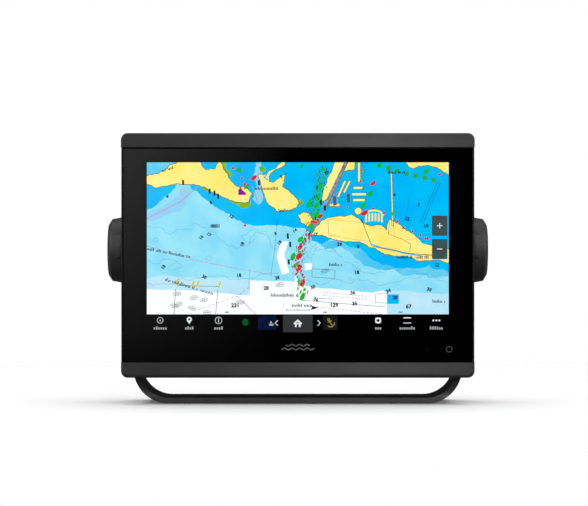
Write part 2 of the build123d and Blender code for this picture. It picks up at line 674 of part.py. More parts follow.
with BuildPart() as wireless_antenna:
    with BuildSketch(Plane.XY.offset(ANTENNA_Z)):
        with Locations((45, BOARD[1])):
            Rectangle(30, 8, align=(Align.CENTER, Align.MIN))
    extrude(amount=-1)
    with BuildSketch(Plane.XY.offset(ANTENNA_Z)):
        with Locations((52, BOARD[1] + 3)):
            Rectangle(9, 3, align=(Align.CENTER, Align.MIN))
    extrude(amount=1.4)
save(wireless_antenna, "wireless_antenna")

# A coaxial lead from under each antenna, down and forward to the main board.
with BuildPart() as antenna_leads:
    for x, y in ((-36, BOARD[1] + 10), (40, BOARD[1] + 5.5)):
        points = [(x, y, ANTENNA_Z - 1), (x, y, BODY_Z + 44), (x, BOARD[1], BODY_Z + 44)]
        with BuildLine() as route:
            FilletPolyline(*points, radius=4)
        with BuildSketch(Plane(origin=route.line @ 0, z_dir=route.line % 0)):
            Circle(0.7)
        sweep(path=route.line)
save(antenna_leads, "antenna_leads")

with BuildPart() as key_board:
    with BuildSketch(layer(-29.9)):
        with Locations(((KEY_X + SENSOR_X) / 2, KEY_Z)):
            Rectangle(25, 7)
    extrude(amount=1)
save(key_board, "key_board")

with BuildPart() as key_light_guide:
    with BuildSketch(layer(-31)):
        with Locations((KEY_X, KEY_Z)):
            Circle(3.3)
    extrude(amount=2.8)
save(key_light_guide, "key_light_guide")

with BuildPart() as light_sensor:
    with BuildSketch(layer(-31)):
        with Locations((SENSOR_X, KEY_Z)):
            Rectangle(3, 3)
    extrude(amount=1.2)
save(light_sensor, "light_sensor")

# Ribbon from the key's board, through its slot, to the front of the main board.
with BuildPart() as key_flex:
    with BuildSketch(Plane.YZ.offset(77)):
        with BuildLine():
            FilletPolyline(
                (-29.7, BODY_Z - 58), (BOARD[0] - 0.6, BODY_Z - 58), (BOARD[0] - 0.6, BODY_Z - 50), radius=2
            )
            offset(amount=0.3, side=Side.RIGHT)
        make_face()
    extrude(amount=6)
save(key_flex, "key_flex")

# Ribbon from the screen's driver edge, through the back plate's window, to the front of the board.
with BuildPart() as display_flex:
    with BuildSketch(Plane.YZ.offset(-15)):
        with BuildLine():
            FilletPolyline(
                (BACKLIGHT[1] + 0.1, BODY_Z - 20),
                (BACKLIGHT[1] + 0.1, BODY_Z - 38),
                (BOARD[0] - 4, BODY_Z - 38),
                (BOARD[0] - 4, BODY_Z - 24),
                radius=3,
            )
            offset(amount=0.2, side=Side.LEFT)
        make_face()
    extrude(amount=30)
save(display_flex, "display_flex")

with BuildPart() as flex_socket:
    with BuildSketch(layer(BOARD[0])):
        with Locations((0, -26)):
            Rectangle(34, 6)
    extrude(amount=3.7)
save(flex_socket, "flex_socket")


# ---------------------------------------------------------------- rear connectors
def contacts(count, socket):
    """Contact places in a socket of that radius: one ring, and an inner ring of three if there are twelve."""
    if count == 1:
        return [(0, 0)]
    inner = 3 if count == 12 else 0
    outer = count - inner
    ring = [
        (0.62 * socket * cos(2 * pi * i / outer), 0.62 * socket * sin(2 * pi * i / outer))
        for i in range(outer)
    ]
    middle = [
        (0.25 * socket * cos(radians(90 + 120 * i)), 0.25 * socket * sin(radians(90 + 120 * i)))
        for i in range(inner)
    ]
    return ring + middle


SEAL = (1.0, 1.6)
for name, x, outer, socket, count in CONNECTORS:
    with BuildPart() as connector:
        with BuildSketch(layer(SEAL[1] + 1.6)):
            with Locations((x, CONNECTOR_Z)):
                RegularPolygon(outer + 2.2, 6)
        extrude(amount=1.6)
        with BuildSketch(layer(SHELL_BACK)):
            with Locations((x, CONNECTOR_Z)):
                Circle(outer)
        extrude(amount=SHELL_BACK - SEAL[1] - 0.5)
        with BuildSketch(layer(SEAL[1] + 0.5)):
            with Locations((x, CONNECTOR_Z)):
                Circle(outer - 1.5)
        extrude(amount=SEAL[1] + 0.5 - BOARD[1] - 0.1)
        with BuildSketch(layer(SHELL_BACK + 1)):
            with Locations((x, CONNECTOR_Z)):
                Circle(socket)
        extrude(amount=SHELL_BACK + 1 - SOCKET_FLOOR, mode=Mode.SUBTRACT)
        with BuildSketch(layer(SOCKET_FLOOR + 1)):
            with Locations((x, CONNECTOR_Z)):
                with Locations(*contacts(count, socket)):
                    Circle(0.5 + EPS)
        extrude(amount=3, mode=Mode.SUBTRACT)
    save(connector, name)

with BuildPart() as contact_pins:
    for _, x, _, socket, count in CONNECTORS:
        with BuildSketch(layer(PIN_TIP)):
            with Locations((x, CONNECTOR_Z)):
                with Locations(*contacts(count, socket)):
                    Circle(0.5)
        extrude(amount=PIN_TIP - SOCKET_FLOOR + 1.9)
save(contact_pins, "contact_pins")

with BuildPart() as connector_seals:
    with BuildSketch(layer(SEAL[1])):
        for _, x, outer, _, _ in CONNECTORS:
            with Locations((x, CONNECTOR_Z)):
                Circle(outer + 1.4)
                Circle(outer - 0.6, mode=Mode.SUBTRACT)
    extrude(amount=thick(SEAL))
save(connector_seals, "connector_seals")

with BuildPart() as connector_nuts:
    for _, x, outer, _, _ in CONNECTORS:
        with BuildSketch(layer(STEP_BACK - WALL - 0.05)):
            with Locations((x, CONNECTOR_Z)):
                RegularPolygon(outer + 1.4, 6)
                Circle(outer - 1.5 + EPS, mode=Mode.SUBTRACT)
        extrude(amount=3.4)
save(connector_nuts, "connector_nuts")


# ---------------------------------------------------------------- card reader and its door
with BuildPart() as card_reader:
    with BuildSketch(layer(BAY_FRONT - 0.1)):
        with Locations((DOOR_X, BAY_Z)):
            Rectangle(BAY_W + 3, BAY_H + 2)
    extrude(amount=BAY_FRONT - 0.1 - BOARD[1])
    with BuildSketch(layer(BAY_FRONT)):
        with Locations((DOOR_X - 8.5, BAY_Z), (DOOR_X + 8.5, BAY_Z)):
            Rectangle(11.6, 1.3)
    extrude(amount=5, mode=Mode.SUBTRACT)
save(card_reader, "card_reader")

DOOR = (STEP_BACK + 0.3, STEP_BACK + 2.9)
with BuildPart() as card_door:
    with BuildSketch(layer(DOOR[1])) as flap:
        with Locations((DOOR_X, (DOOR_LOW + DOOR_TOP) / 2)):
            Rectangle(DOOR_W, DOOR_TOP - DOOR_LOW)
        fillet(flap.vertices().group_by(Axis.Y)[-1], 3)
    extrude(amount=thick(DOOR))
    with BuildSketch(layer(DOOR[1] + 1)):
        with Locations((DOOR_X, DOOR_TOP - 2.6)):
            RectangleRounded(16, 2, 0.9)
    extrude(amount=1.5)
    with BuildSketch(Plane.YZ.offset(DOOR_X - DOOR_W / 2)):
        with Locations((HINGE_Y, BODY_Z + HINGE_Z)):
            Circle(HINGE_R)
        with Locations((HINGE_Y - 0.9, BODY_Z + HINGE_Z + 2)):
            Rectangle(2.4, 4)
        with Locations((HINGE_Y, BODY_Z + HINGE_Z)):
            Circle(PIN_R + 0.06, mode=Mode.SUBTRACT)
    extrude(amount=DOOR_W)
save(card_door, "card_door")

with BuildPart() as card_door_seal:
    with BuildSketch(layer(DOOR[0])):
        with Locations((DOOR_X, BAY_Z)):
            RectangleRounded(BAY_W - 0.9, BAY_H - 0.9, 1.2)
            RectangleRounded(BAY_W - 6, BAY_H - 6, 0.8, mode=Mode.SUBTRACT)
    extrude(amount=2.1)
save(card_door_seal, "card_door_seal")

with BuildPart() as card_door_pin:
    with BuildSketch(Plane.YZ.offset(DOOR_X - DOOR_W / 2 - 3.4)):
        with Locations((HINGE_Y, BODY_Z + HINGE_Z)):
            Circle(PIN_R)
    extrude(amount=DOOR_W + 6.8)
save(card_door_pin, "card_door_pin")


# ---------------------------------------------------------------- vent and label
with BuildPart() as pressure_vent:
    with BuildSketch(layer(HOUSING_BACK + 1.8)):
        with Locations(VENT):
            Circle(5.5)
    extrude(amount=1.75)
    chamfer(pressure_vent.faces().sort_by(Axis.Y)[-1].edges(), 0.5)
    with BuildSketch(layer(HOUSING_BACK + 0.1)):
        with Locations(VENT):
            Circle(2.4)
    extrude(amount=4)
save(pressure_vent, "pressure_vent")

with BuildPart() as rating_label:
    with BuildSketch(layer(HOUSING_BACK + 0.3)):
        with Locations((-87.5, 20)):
            RectangleRounded(17, 44, 1.5)
    extrude(amount=0.28)
save(rating_label, "rating_label")
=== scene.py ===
import json
import math
import random

import bmesh
import bpy
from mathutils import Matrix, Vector


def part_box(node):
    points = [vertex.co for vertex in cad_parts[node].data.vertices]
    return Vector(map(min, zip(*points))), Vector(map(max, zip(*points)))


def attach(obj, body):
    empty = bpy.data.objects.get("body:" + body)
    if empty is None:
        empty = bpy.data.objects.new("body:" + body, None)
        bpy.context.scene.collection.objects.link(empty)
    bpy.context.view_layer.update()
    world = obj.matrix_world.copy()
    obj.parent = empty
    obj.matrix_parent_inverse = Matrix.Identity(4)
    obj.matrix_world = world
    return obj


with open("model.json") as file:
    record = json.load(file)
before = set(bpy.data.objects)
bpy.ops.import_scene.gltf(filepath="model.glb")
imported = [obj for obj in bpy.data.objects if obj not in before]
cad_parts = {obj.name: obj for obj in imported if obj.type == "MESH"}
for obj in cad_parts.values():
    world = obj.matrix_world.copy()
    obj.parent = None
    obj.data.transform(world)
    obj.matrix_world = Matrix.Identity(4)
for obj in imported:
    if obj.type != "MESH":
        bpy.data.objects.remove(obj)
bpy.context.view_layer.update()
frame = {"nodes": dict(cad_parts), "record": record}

# The looks of a marine chartplotter display. Metres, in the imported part's own frame: the screen faces -Y and
# the bail stands on z = 0. Where the pictures and prints go is worked out from the CAD nodes' boxes.
MM = 0.001
NODES = frame["nodes"]
WHITE_LIGHT = (1, 1, 1, 1)
NO_LIGHT = (0, 0, 0, 1)


def linear(display, times=1.0):
    """Scene colour, made some times as bright, of a display colour given in 0 to 255."""
    scene_levels = [((v / 255 + 0.055) / 1.055) ** 2.4 if v > 10 else v / 255 / 12.92 for v in display]
    return tuple(times * level for level in scene_levels) + (1,)


# ---------------------------------------- shader parts
class Nodes:
    """A node tree, with helpers that add nodes and feed their sockets."""

    def __init__(self, tree):
        self.tree = tree

    def feed(self, socket, value):
        """Link an output, or a node's first one, to a socket, or set the socket to a plain value."""
        if isinstance(value, bpy.types.Node):
            value = value.outputs[0]
        if isinstance(value, bpy.types.NodeSocket):
            self.tree.links.new(value, socket)
        else:
            socket.default_value = value

    def node(self, kind, *inputs, **named):
        """A new node, with its sockets fed by their order or by their names."""
        made = self.tree.nodes.new("ShaderNode" + kind)
        for socket, value in zip(made.inputs, inputs):
            self.feed(socket, value)
        for name, value in named.items():
            self.feed(made.inputs[name.replace("_", " ")], value)
        return made

    def worked(self, kind, operation, *inputs):
        """A math node that does one operation."""
        made = self.node(kind, *inputs)
        made.operation = operation
        return made

    def mapped(self, value, start, end, low=0.0, high=1.0):
        """A number that goes from low to high as value goes from start to end."""
        return self.node("MapRange", Value=value, From_Min=start, From_Max=end, To_Min=low, To_Max=high)

    def ray(self, kind):
        """1 for rays of one kind and 0 for all others."""
        return self.node("LightPath").outputs[f"Is {kind} Ray"]


class Shader(Nodes):
    """One Principled material, with textures in the object's own coordinates."""

    def __init__(self, name, roughness=0.5, metallic=0.0, **sockets):
        self.material = bpy.data.materials.new(name)
        self.material.use_nodes = True
        super().__init__(self.material.node_tree)
        self.main = self.tree.nodes["Principled BSDF"]
        self.place = self.node("TexCoord").outputs["Object"]
        for socket, value in {"Roughness": roughness, "Metallic": metallic, **sockets}.items():
            self.join(value, socket.replace("_", " "))

    def join(self, value, socket):
        """Give the Principled shader's socket a value."""
        self.feed(self.main.inputs[socket], value)

    def surface(self, shader):
        """Finish the material with another shader in place of the Principled one."""
        self.tree.nodes.remove(self.main)
        self.feed(self.tree.nodes["Material Output"].inputs["Surface"], shader)
        return self.material

    def noise(self, size, detail=2.0, stretch=(1, 1, 1)):
        """Noise in blotches about size metres across, longer along the axes that stretch makes small."""
        spread = self.node("Mapping", Vector=self.place, Scale=stretch)
        return self.node("TexNoise", Vector=spread, Scale=1 / size, Detail=detail).outputs["Fac"]

    def tinted(self, factor, dark, light, start=0.3, end=0.7):
        """A scene colour that goes from dark to light as factor goes from start to end."""
        made = self.node("ValToRGB", Fac=factor)
        first, last = made.color_ramp.elements
        first.position, first.color = start, dark
        last.position, last.color = end, light
        return made

    def scaled(self, value, low, high):
        """A number from low to high over the range of 0.3 to 0.7, where noise mostly lies."""
        return self.mapped(value, 0.3, 0.7, low, high)

    def uneven(self, size, detail, low, high):
        """Give the surface a roughness that wanders from low to high."""
        self.join(self.scaled(self.noise(size, detail), low, high), "Roughness")

    def blended(self, factor, first, second):
        """Two colours mixed. A Mix node has its colour sockets at 6 and 7, and its colour output at 2."""
        made = self.node("Mix")
        made.data_type = "RGBA"
        for socket, value in ((0, factor), (6, first), (7, second)):
            self.feed(made.inputs[socket], value)
        return made.outputs[2]

    def soft_edges(self, radius):
        """Shading normals that roll over sharp edges within radius metres."""
        bevel = self.node("Bevel", Radius=radius)
        bevel.samples = 4
        return bevel

    def worn(self, radius):
        """Nearly 0 on flat faces and towards 1 along outer edges, from how far the rounded normal leans."""
        normal = self.node("NewGeometry").outputs["Normal"]
        lean = self.worked("VectorMath", "DOT_PRODUCT", self.soft_edges(radius), normal)
        return self.mapped(lean.outputs["Value"], 0.995, 0.85)

    def bump(self, height, depth, strength, over=None):
        """Bumps of depth metres from a 0 to 1 height, over another normal."""
        made = self.node("Bump", Height=height, Strength=strength, Distance=depth)
        if over is not None:
            self.feed(made.inputs["Normal"], over)
        self.join(made, "Normal")
        return made


# Each material below takes its dark and light colours as display colours, in 0 to 255.
def moulded(name, dark, light, roughness, grain=0.35 * MM, depth=0.02 * MM, edge=0.3 * MM):
    """Moulded plastic: spark-eroded grain, faint cloudiness, a slight shine where edges are handled."""
    made = Shader(name)
    fine = made.noise(grain, 3)
    cloudy = made.tinted(made.noise(28 * MM, 3), linear(dark), linear(light), 0.35, 0.65)
    specked = made.blended(made.scaled(fine, 0.0, 0.25), cloudy, linear(light, 1.6))
    handled = made.scaled(made.worn(edge), 0.0, 0.3)
    made.join(made.blended(handled, specked, linear(light, 2.2)), "Base Color")
    made.uneven(9 * MM, 4, roughness - 0.06, roughness + 0.06)
    made.bump(fine, depth, 0.6, made.soft_edges(edge))
    return made.material


def powder_coat(name, dark, light):
    """Powder-coated metal: orange peel in two sizes and a low satin sheen."""
    made = Shader(name, Coat_Weight=0.25, Coat_Roughness=0.35)
    made.join(made.tinted(made.noise(18 * MM, 3), linear(dark), linear(light), 0.35, 0.65), "Base Color")
    made.uneven(5 * MM, 3, 0.36, 0.46)
    peel = made.bump(made.noise(1.1 * MM, 2), 0.02 * MM, 0.5, made.soft_edges(0.5 * MM))
    made.bump(made.noise(0.3 * MM, 2), 0.01 * MM, 0.5, peel)
    return made.material


def metal(name, dark, light, roughness, stretch=(1, 1, 1), edge=0.1 * MM):
    """Bare or plated metal, with tool marks drawn out along the axes that stretch makes small."""
    made = Shader(name, metallic=1.0)
    marks = made.noise(0.5 * MM, 4, stretch)
    made.join(made.tinted(marks, linear(dark), linear(light)), "Base Color")
    made.uneven(3 * MM, 3, roughness - 0.07, roughness + 0.07)
    made.bump(marks, 0.008 * MM, 0.4, made.soft_edges(edge))
    return made.material


def rubber(name, dark, light):
    """Moulded silicone or foam: dull, with a dusty, uneven surface."""
    made = Shader(name, Sheen_Weight=0.15, Sheen_Roughness=0.5)
    made.join(made.tinted(made.noise(4 * MM, 4), linear(dark), linear(light)), "Base Color")
    made.uneven(2 * MM, 3, 0.62, 0.8)
    made.bump(made.noise(0.4 * MM, 3), 0.02 * MM, 0.6, made.soft_edges(0.15 * MM))
    return made.material


def clear(name, tint, roughness, ior):
    """Glass or clear film, with faint wipe marks in its gloss. Its tint is the share of light let through."""
    made = Shader(name, IOR=ior, Transmission_Weight=1.0)
    made.join(made.tinted(made.noise(60 * MM, 2), tint + (1,), WHITE_LIGHT), "Base Color")
    made.join(made.scaled(made.noise(6 * MM, 4, (1, 1, 4)), roughness, roughness + 0.015), "Roughness")
    return made.material


def printed(name, dark, light, roughness=0.12):
    """Ink on the back of the glass, with the faint mottle of a screen print."""
    made = Shader(name, Specular_IOR_Level=0.0)
    made.join(made.tinted(made.noise(0.8 * MM, 3), linear(dark), linear(light)), "Base Color")
    made.uneven(5 * MM, 2, roughness, roughness + 0.08)
    return made.material


def lit(name, colour, strength=1.0, second=None, size=30 * MM):
    """A glowing colour on the screen, uneven like a backlight or mottled to a second colour."""
    made = Shader(name, roughness=0.35, Specular_IOR_Level=0.0, Emission_Strength=strength)
    low = linear(second) if second else linear(colour, 0.955)
    shade = made.tinted(made.noise(size, 3), low, linear(colour), 0.36, 0.64)
    made.join(shade, "Emission Color")
    made.join(made.blended(0.9, shade, NO_LIGHT), "Base Color")
    return made.material


def circuit_board(name):
    """Solder mask over copper tracks: a Voronoi and brick mix gives traces, pads and bare board."""
    made = Shader(name, Coat_Weight=0.4, Coat_Roughness=0.2)
    upright = made.node("Mapping", Vector=made.place, Rotation=(math.pi / 2, 0, 0))
    mask, bare, track = linear((16, 78, 44)), linear((12, 66, 38)), linear((34, 112, 66))
    bricks = made.node("TexBrick", upright, mask, bare, track, Scale=110, Mortar_Size=0.06)
    pads = made.node("TexVoronoi", Vector=made.place, Scale=420.0).outputs["Distance"]
    dots = made.tinted(pads, WHITE_LIGHT, NO_LIGHT, 0.1, 0.16)
    made.join(made.blended(dots, bricks, linear((190, 170, 110))), "Base Color")
    made.uneven(4 * MM, 3, 0.32, 0.45)
    made.bump(bricks.outputs["Fac"], 0.03 * MM, 0.5)
    return made.material


def brushed_label(name):
    """Metallised polyester: fine brushing along its length."""
    made = Shader(name, metallic=0.6)
    brushed = made.noise(0.35 * MM, 3, (1, 1, 0.04))
    made.join(made.tinted(brushed, linear((120, 122, 126)), linear((160, 162, 165))), "Base Color")
    made.join(made.scaled(brushed, 0.32, 0.48), "Roughness")
    made.bump(brushed, 0.004 * MM, 0.4)
    return made.material


MATERIALS = {
    "bail_paint": powder_coat("bail_powder_coat", (31, 31, 31), (37, 37, 37)),
    "knob_nylon": moulded("knob_nylon", (41, 41, 41), (48, 48, 48), 0.51, 0.4 * MM),
    "trim_plastic": moulded("trim_plastic", (46, 46, 46), (52, 52, 52), 0.44, 0.3 * MM, 0.012 * MM),
    "bezel_alloy": powder_coat("bezel_paint", (13, 13, 14), (17, 17, 18)),
    "housing_plastic": moulded("housing_plastic", (34, 35, 37), (41, 42, 44), 0.55, 0.45 * MM, 0.03 * MM),
    "cover_glass": clear("cover_glass", (0.985, 0.995, 0.99), 0.0, 1.5),
    "black_ink": printed("black_ink", (1, 1, 2), (3, 3, 4)),
    "sensor_film": clear("sensor_film", (0.985, 0.99, 0.985), 0.0, 1.12),
    "screen": lit("screen_off_border", (4, 5, 7), 0.2),
    "backlight": moulded("backlight_white", (225, 225, 220), (238, 238, 235), 0.4),
    "foam": rubber("black_foam", (20, 20, 21), (34, 34, 35)),
    "silicone": rubber("grey_silicone", (66, 67, 69), (84, 85, 87)),
    "fin_alloy": metal("black_anodised", (34, 35, 37), (52, 53, 56), 0.42, (1, 1, 0.05), 0.2 * MM),
    "board": circuit_board("circuit_board"),
    "components": moulded("black_epoxy", (26, 26, 27), (36, 36, 38), 0.4, 0.25 * MM),
    "tin": metal("tinned_steel", (176, 178, 180), (206, 207, 206), 0.3),
    "stainless": metal("stainless_steel", (168, 170, 172), (206, 206, 205), 0.28),
    "brass": metal("brass", (176, 140, 70), (208, 172, 96), 0.3),
    "contact_gold": metal("gold_plate", (206, 160, 70), (240, 198, 104), 0.2),
    "connector_nylon": moulded("connector_nylon", (27, 28, 29), (35, 36, 37), 0.45, 0.3 * MM),
    "ceramic": moulded("antenna_ceramic", (196, 186, 164), (212, 203, 184), 0.6),
    "flex_film": moulded("amber_film", (176, 98, 24), (202, 122, 38), 0.25, 1.5 * MM, 0.004 * MM),
    "lead_jacket": rubber("lead_jacket", (48, 48, 49), (62, 62, 63)),
    "light_guide": clear("light_guide", (0.97, 0.98, 0.99), 0.1, 1.49),
    "label_film": brushed_label("blank_label"),
    "vent_plastic": moulded("vent_plastic", (58, 59, 61), (70, 71, 73), 0.5),
}
for subpart in frame["record"]["subparts"]:
    holder = NODES[subpart["node"]].data.materials
    holder.clear()
    holder.append(MATERIALS[subpart["material_slot"]])


# ---------------------------------------- objects
def placed(name, data, where=(0, 0, 0)):
    """A new object of the scene, at a place, that holds some data."""
    made = bpy.data.objects.new(name, data)
    made.location = where
    bpy.context.scene.collection.objects.link(made)
    return made


def built(name, gathered, material):
    """An object of the gathered mesh, in one material."""
    data = bpy.data.meshes.new(name)
    gathered.to_mesh(data)
    gathered.free()
    data.materials.append(material)
    return placed(name, data)


# ---------------------------------------- the picture on the screen
# The picture lies in thin layers on the liquid crystal panel's front face. A place on it is given in
# millimetres from the screen's middle, x to the right and z up, and layer 0 is the furthest back.
lcd_low, lcd_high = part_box("lcd_panel")
SCREEN_X = (lcd_low.x + lcd_high.x) / 2
SCREEN_Z = (lcd_low.z + lcd_high.z) / 2
WIDE, HIGH = 99.6, 56.05  # half sizes of the picture, mm
BAR_TOP = -44.2  # the menu bar's upper edge, mm
LAYER = 0.02 * MM


def layer_span(layer):
    """Front and back depths of a layer of the picture."""
    back = lcd_low.y - 0.01 * MM - layer * LAYER
    return back - 0.6 * LAYER, back


def spot(u, v):
    """Millimetre place of a point given as shares of the chart's width and height, from its lower left."""
    return (2 * u - 1) * WIDE, BAR_TOP + v * (HIGH - BAR_TOP)


def spots(*shares):
    """The places of several such points."""
    return [spot(u, v) for u, v in shares]


def moved(outline, x, z, turn=0.0, size=1.0):
    """Points about (0, 0), turned, sized and moved to a place."""
    c, s = size * math.cos(turn), size * math.sin(turn)
    return [(x + c * a - s * b, z + s * a + c * b) for a, b in outline]


def oblong(width, height):
    """The corners of a rectangle about (0, 0)."""
    return [(a * width / 2, b * height / 2) for a, b in ((-1, -1), (1, -1), (1, 1), (-1, 1))]


def oval(radius, squash, start, end, steps):
    """Points about (0, 0), from start to end in degrees, along a circle that may be squashed in height."""
    angles = [math.radians(start + (end - start) * i / steps) for i in range(steps + 1)]
    return [(radius * math.cos(angle), squash * radius * math.sin(angle)) for angle in angles]


class Prints:
    """Flat shapes that are printed in one layer and one material, gathered in one mesh of thin solids.
    The layer is given by its number, or by its front and back depths."""

    def __init__(self, name, layer, material, slot="screen"):
        self.name, self.material, self.slot = name, material, slot
        self.front, self.back = layer if isinstance(layer, tuple) else layer_span(layer)
        self.mesh = bmesh.new()

    def shape(self, outline):
        """One closed outline of (x, z) millimetre points."""
        outline = [p for i, p in enumerate(outline) if math.dist(p, outline[i - 1]) > 1e-3]
        rings = [
            [self.mesh.verts.new((SCREEN_X + x * MM, y, SCREEN_Z + z * MM)) for x, z in outline]
            for y in (self.front, self.back)
        ]
        self.mesh.faces.new(rings[0])
        self.mesh.faces.new(rings[1][::-1])
        for i in range(len(outline)):
            self.mesh.faces.new((rings[0][i], rings[0][i - 1], rings[1][i - 1], rings[1][i]))

    def turned(self, outline, x, z, turn=0.0, size=1.0):
        self.shape(moved(outline, x, z, turn, size))

    def rectangle(self, x, z, width, height, turn=0.0):
        self.turned(oblong(width, height), x, z, turn)

    def rounded(self, x, z, width, height, radius):
        """A rectangle with round corners."""
        outline = []
        for corner, (side, rise) in enumerate(((1, 1), (-1, 1), (-1, -1), (1, -1))):
            for a, b in oval(radius, 1, 90 * corner, 90 * corner + 90, 4):
                outline.append((x + side * (width / 2 - radius) + a, z + rise * (height / 2 - radius) + b))
        self.shape(outline)

    def disc(self, x, z, radius, squash=1.0):
        self.turned(oval(radius, squash, 0, 360, 20)[:-1], x, z)

    def arc(self, x, z, radius, width, start=0.0, end=360.0, steps=28, squash=1.0, turn=0.0):
        """Part of a ring, of that line width, from start to end in degrees."""
        self.line(moved(oval(radius, squash, start, end, steps), x, z, turn), width)

    def line(self, points, width):
        """A line of straight runs, mitred so that it bends without gaps."""
        ways = [unit(start, end) for start, end in zip(points, points[1:])]
        closed = math.dist(points[0], points[-1]) < 1e-6
        left, right = [], []
        for i, (x, z) in enumerate(points):
            met = [ways[-1], ways[0]] if closed and i in (0, len(ways)) else ways[max(0, i - 1):i + 1]
            way = unit((0, 0), [sum(parts) for parts in zip(*met)])
            reach = width / 2 / max(0.5, way[0] * met[0][0] + way[1] * met[0][1])
            left.append((x - way[1] * reach, z + way[0] * reach))
            right.append((x + way[1] * reach, z - way[0] * reach))
        for i in range(len(ways)):
            self.shape([right[i], right[i + 1], left[i + 1], left[i]])

    def dashed(self, points, width, dash, gap):
        """Dashes along straight runs."""
        along = 0.0
        for start, end in zip(points, points[1:]):
            way, size = unit(start, end), math.dist(start, end)
            while along < size:
                reached = (along, min(along + dash, size))
                self.line([(start[0] + way[0] * at, start[1] + way[1] * at) for at in reached], width)
                along += dash + gap
            along -= size

    def figures(self, body, x, z, size, turn):
        """Generic figures, centred on their place, from the built-in typeface."""
        curve = bpy.data.curves.new("figures", "FONT")
        curve.body, curve.size, curve.align_x, curve.align_y = body, size, "CENTER", "CENTER"
        curve.resolution_u, curve.offset = 2, 0.045 * size
        holder = bpy.data.objects.new("figures", curve)
        flat = bpy.data.meshes.new_from_object(holder)
        cut = bmesh.new()
        cut.from_mesh(flat)
        bmesh.ops.remove_doubles(cut, verts=cut.verts, dist=1e-5)
        for face in cut.faces:
            self.turned([v.co.xy for v in face.verts], x, z, turn)
        cut.free()
        bpy.data.objects.remove(holder)
        bpy.data.curves.remove(curve)
        bpy.data.meshes.remove(flat)

    def finish(self):
        """Turn what was gathered into a piece that rides on the display."""
        self.mesh.normal_update()
        outlines = [face for face in self.mesh.faces if len(face.verts) > 4]
        bmesh.ops.triangulate(self.mesh, faces=outlines, ngon_method="EAR_CLIP")
        bmesh.ops.recalc_face_normals(self.mesh, faces=self.mesh.faces)
        made = built(self.name, self.mesh, self.material)
        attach(made, "display")


def unit(start, end):
    """The way from start to end, of length 1."""
    size = math.dist(start, end) or 1.0
    return (end[0] - start[0]) / size, (end[1] - start[1]) / size


def on_edge(start, end):
    """True if a stretch runs along an edge of the chart."""
    return any(
        abs(start[axis] - limit) < 0.01 and abs(end[axis] - limit) < 0.01
        for axis, limits in ((0, (-WIDE, WIDE)), (1, (BAR_TOP, HIGH)))
        for limit in limits
    )


def bent(start, end, dice, rough, finest):
    """Points between two ends of a shore's stretch, without the ends, until they are finest apart."""
    size = math.dist(start, end)
    if size < finest or on_edge(start, end):
        return []
    way = unit(start, end)
    shift = dice.uniform(-rough, rough) * size
    middle = (
        min(max((start[0] + end[0]) / 2 - way[1] * shift, -WIDE), WIDE),
        min(max((start[1] + end[1]) / 2 + way[0] * shift, BAR_TOP), HIGH),
    )
    return bent(start, middle, dice, rough, finest) + [middle] + bent(middle, end, dice, rough, finest)


def coast(outline, seed, rough):
    """A closed shore in millimetres from a few points given as shares of the chart. Each stretch is bent
    again and again, by an amount that shrinks with its length, but stays straight along the chart's edge."""
    dice = random.Random(seed)
    corners = spots(*outline)
    shore = []
    for start, end in zip(corners, corners[1:] + corners[:1]):
        shore += [start] + bent(start, end, dice, rough, 0.7)
    return shore


# Colours of the chart and the menu.
DEEP = lit("chart_deep_water", (252, 253, 255), 1.13)
OFFSHORE = lit("chart_open_water", (160, 235, 255), 1.04, (138, 224, 252), 16 * MM)
PALE = lit("chart_pale_water", (196, 238, 255), 1.04, (184, 232, 252), 16 * MM)
MUDDY = lit("chart_muddy_water", (158, 212, 250), 1.0, (148, 222, 252), 9 * MM)
INSHORE = lit("chart_inshore_water", (112, 217, 252), 1.0, (78, 204, 248), 12 * MM)
SHALLOW = lit("chart_shallow_water", (0, 194, 255), 1.05, (0, 182, 252), 14 * MM)
DRYING = lit("chart_drying_bank", (160, 196, 14), 1.0, (122, 180, 30), 5 * MM)
LAND = lit("chart_land", (255, 240, 148), 1.12, (252, 230, 112), 22 * MM)
ROAD = lit("chart_road", (178, 174, 176), 1.0, (120, 118, 126), 2 * MM)
STREET = lit("chart_street", (240, 190, 96))
SHORELINE = lit("chart_shoreline", (22, 104, 104))
CONTOUR = lit("chart_contour", (96, 150, 184))
INK = lit("chart_ink", (14, 16, 40))
GREY_INK = lit("chart_grey_ink", (92, 98, 108))
MAGENTA = lit("chart_magenta", (206, 96, 190))
PURPLE = lit("chart_purple", (150, 16, 172))
RED = lit("chart_red", (232, 34, 52))
GREEN = lit("chart_green", (22, 196, 62))
YELLOW = lit("chart_yellow", (236, 214, 30))
NIGHT = lit("menu_background", (1, 1, 2))
TILE = lit("menu_tile", (55, 56, 58))
BUTTON = lit("zoom_button", (52, 94, 100), 1.0, (78, 74, 70), 7 * MM)
NAVY_TILE = lit("menu_navy_tile", (6, 12, 46), 1.0, (14, 26, 66), 3 * MM)
DARK_TILE = lit("menu_dark_tile", (26, 26, 28))
WHITE = lit("menu_white", (238, 240, 242))
GREY = lit("menu_grey", (178, 181, 184))
DIM_GREEN = lit("menu_green", (8, 84, 40))
OLIVE = lit("menu_olive", (160, 148, 52))

# Water, from the back: open water everywhere, then shallower and deeper areas over it.
sea = Prints("chart_open_water", 0, OFFSHORE)
sea.rectangle(0, (BAR_TOP + HIGH) / 2, 2 * WIDE, HIGH - BAR_TOP)
sea.finish()

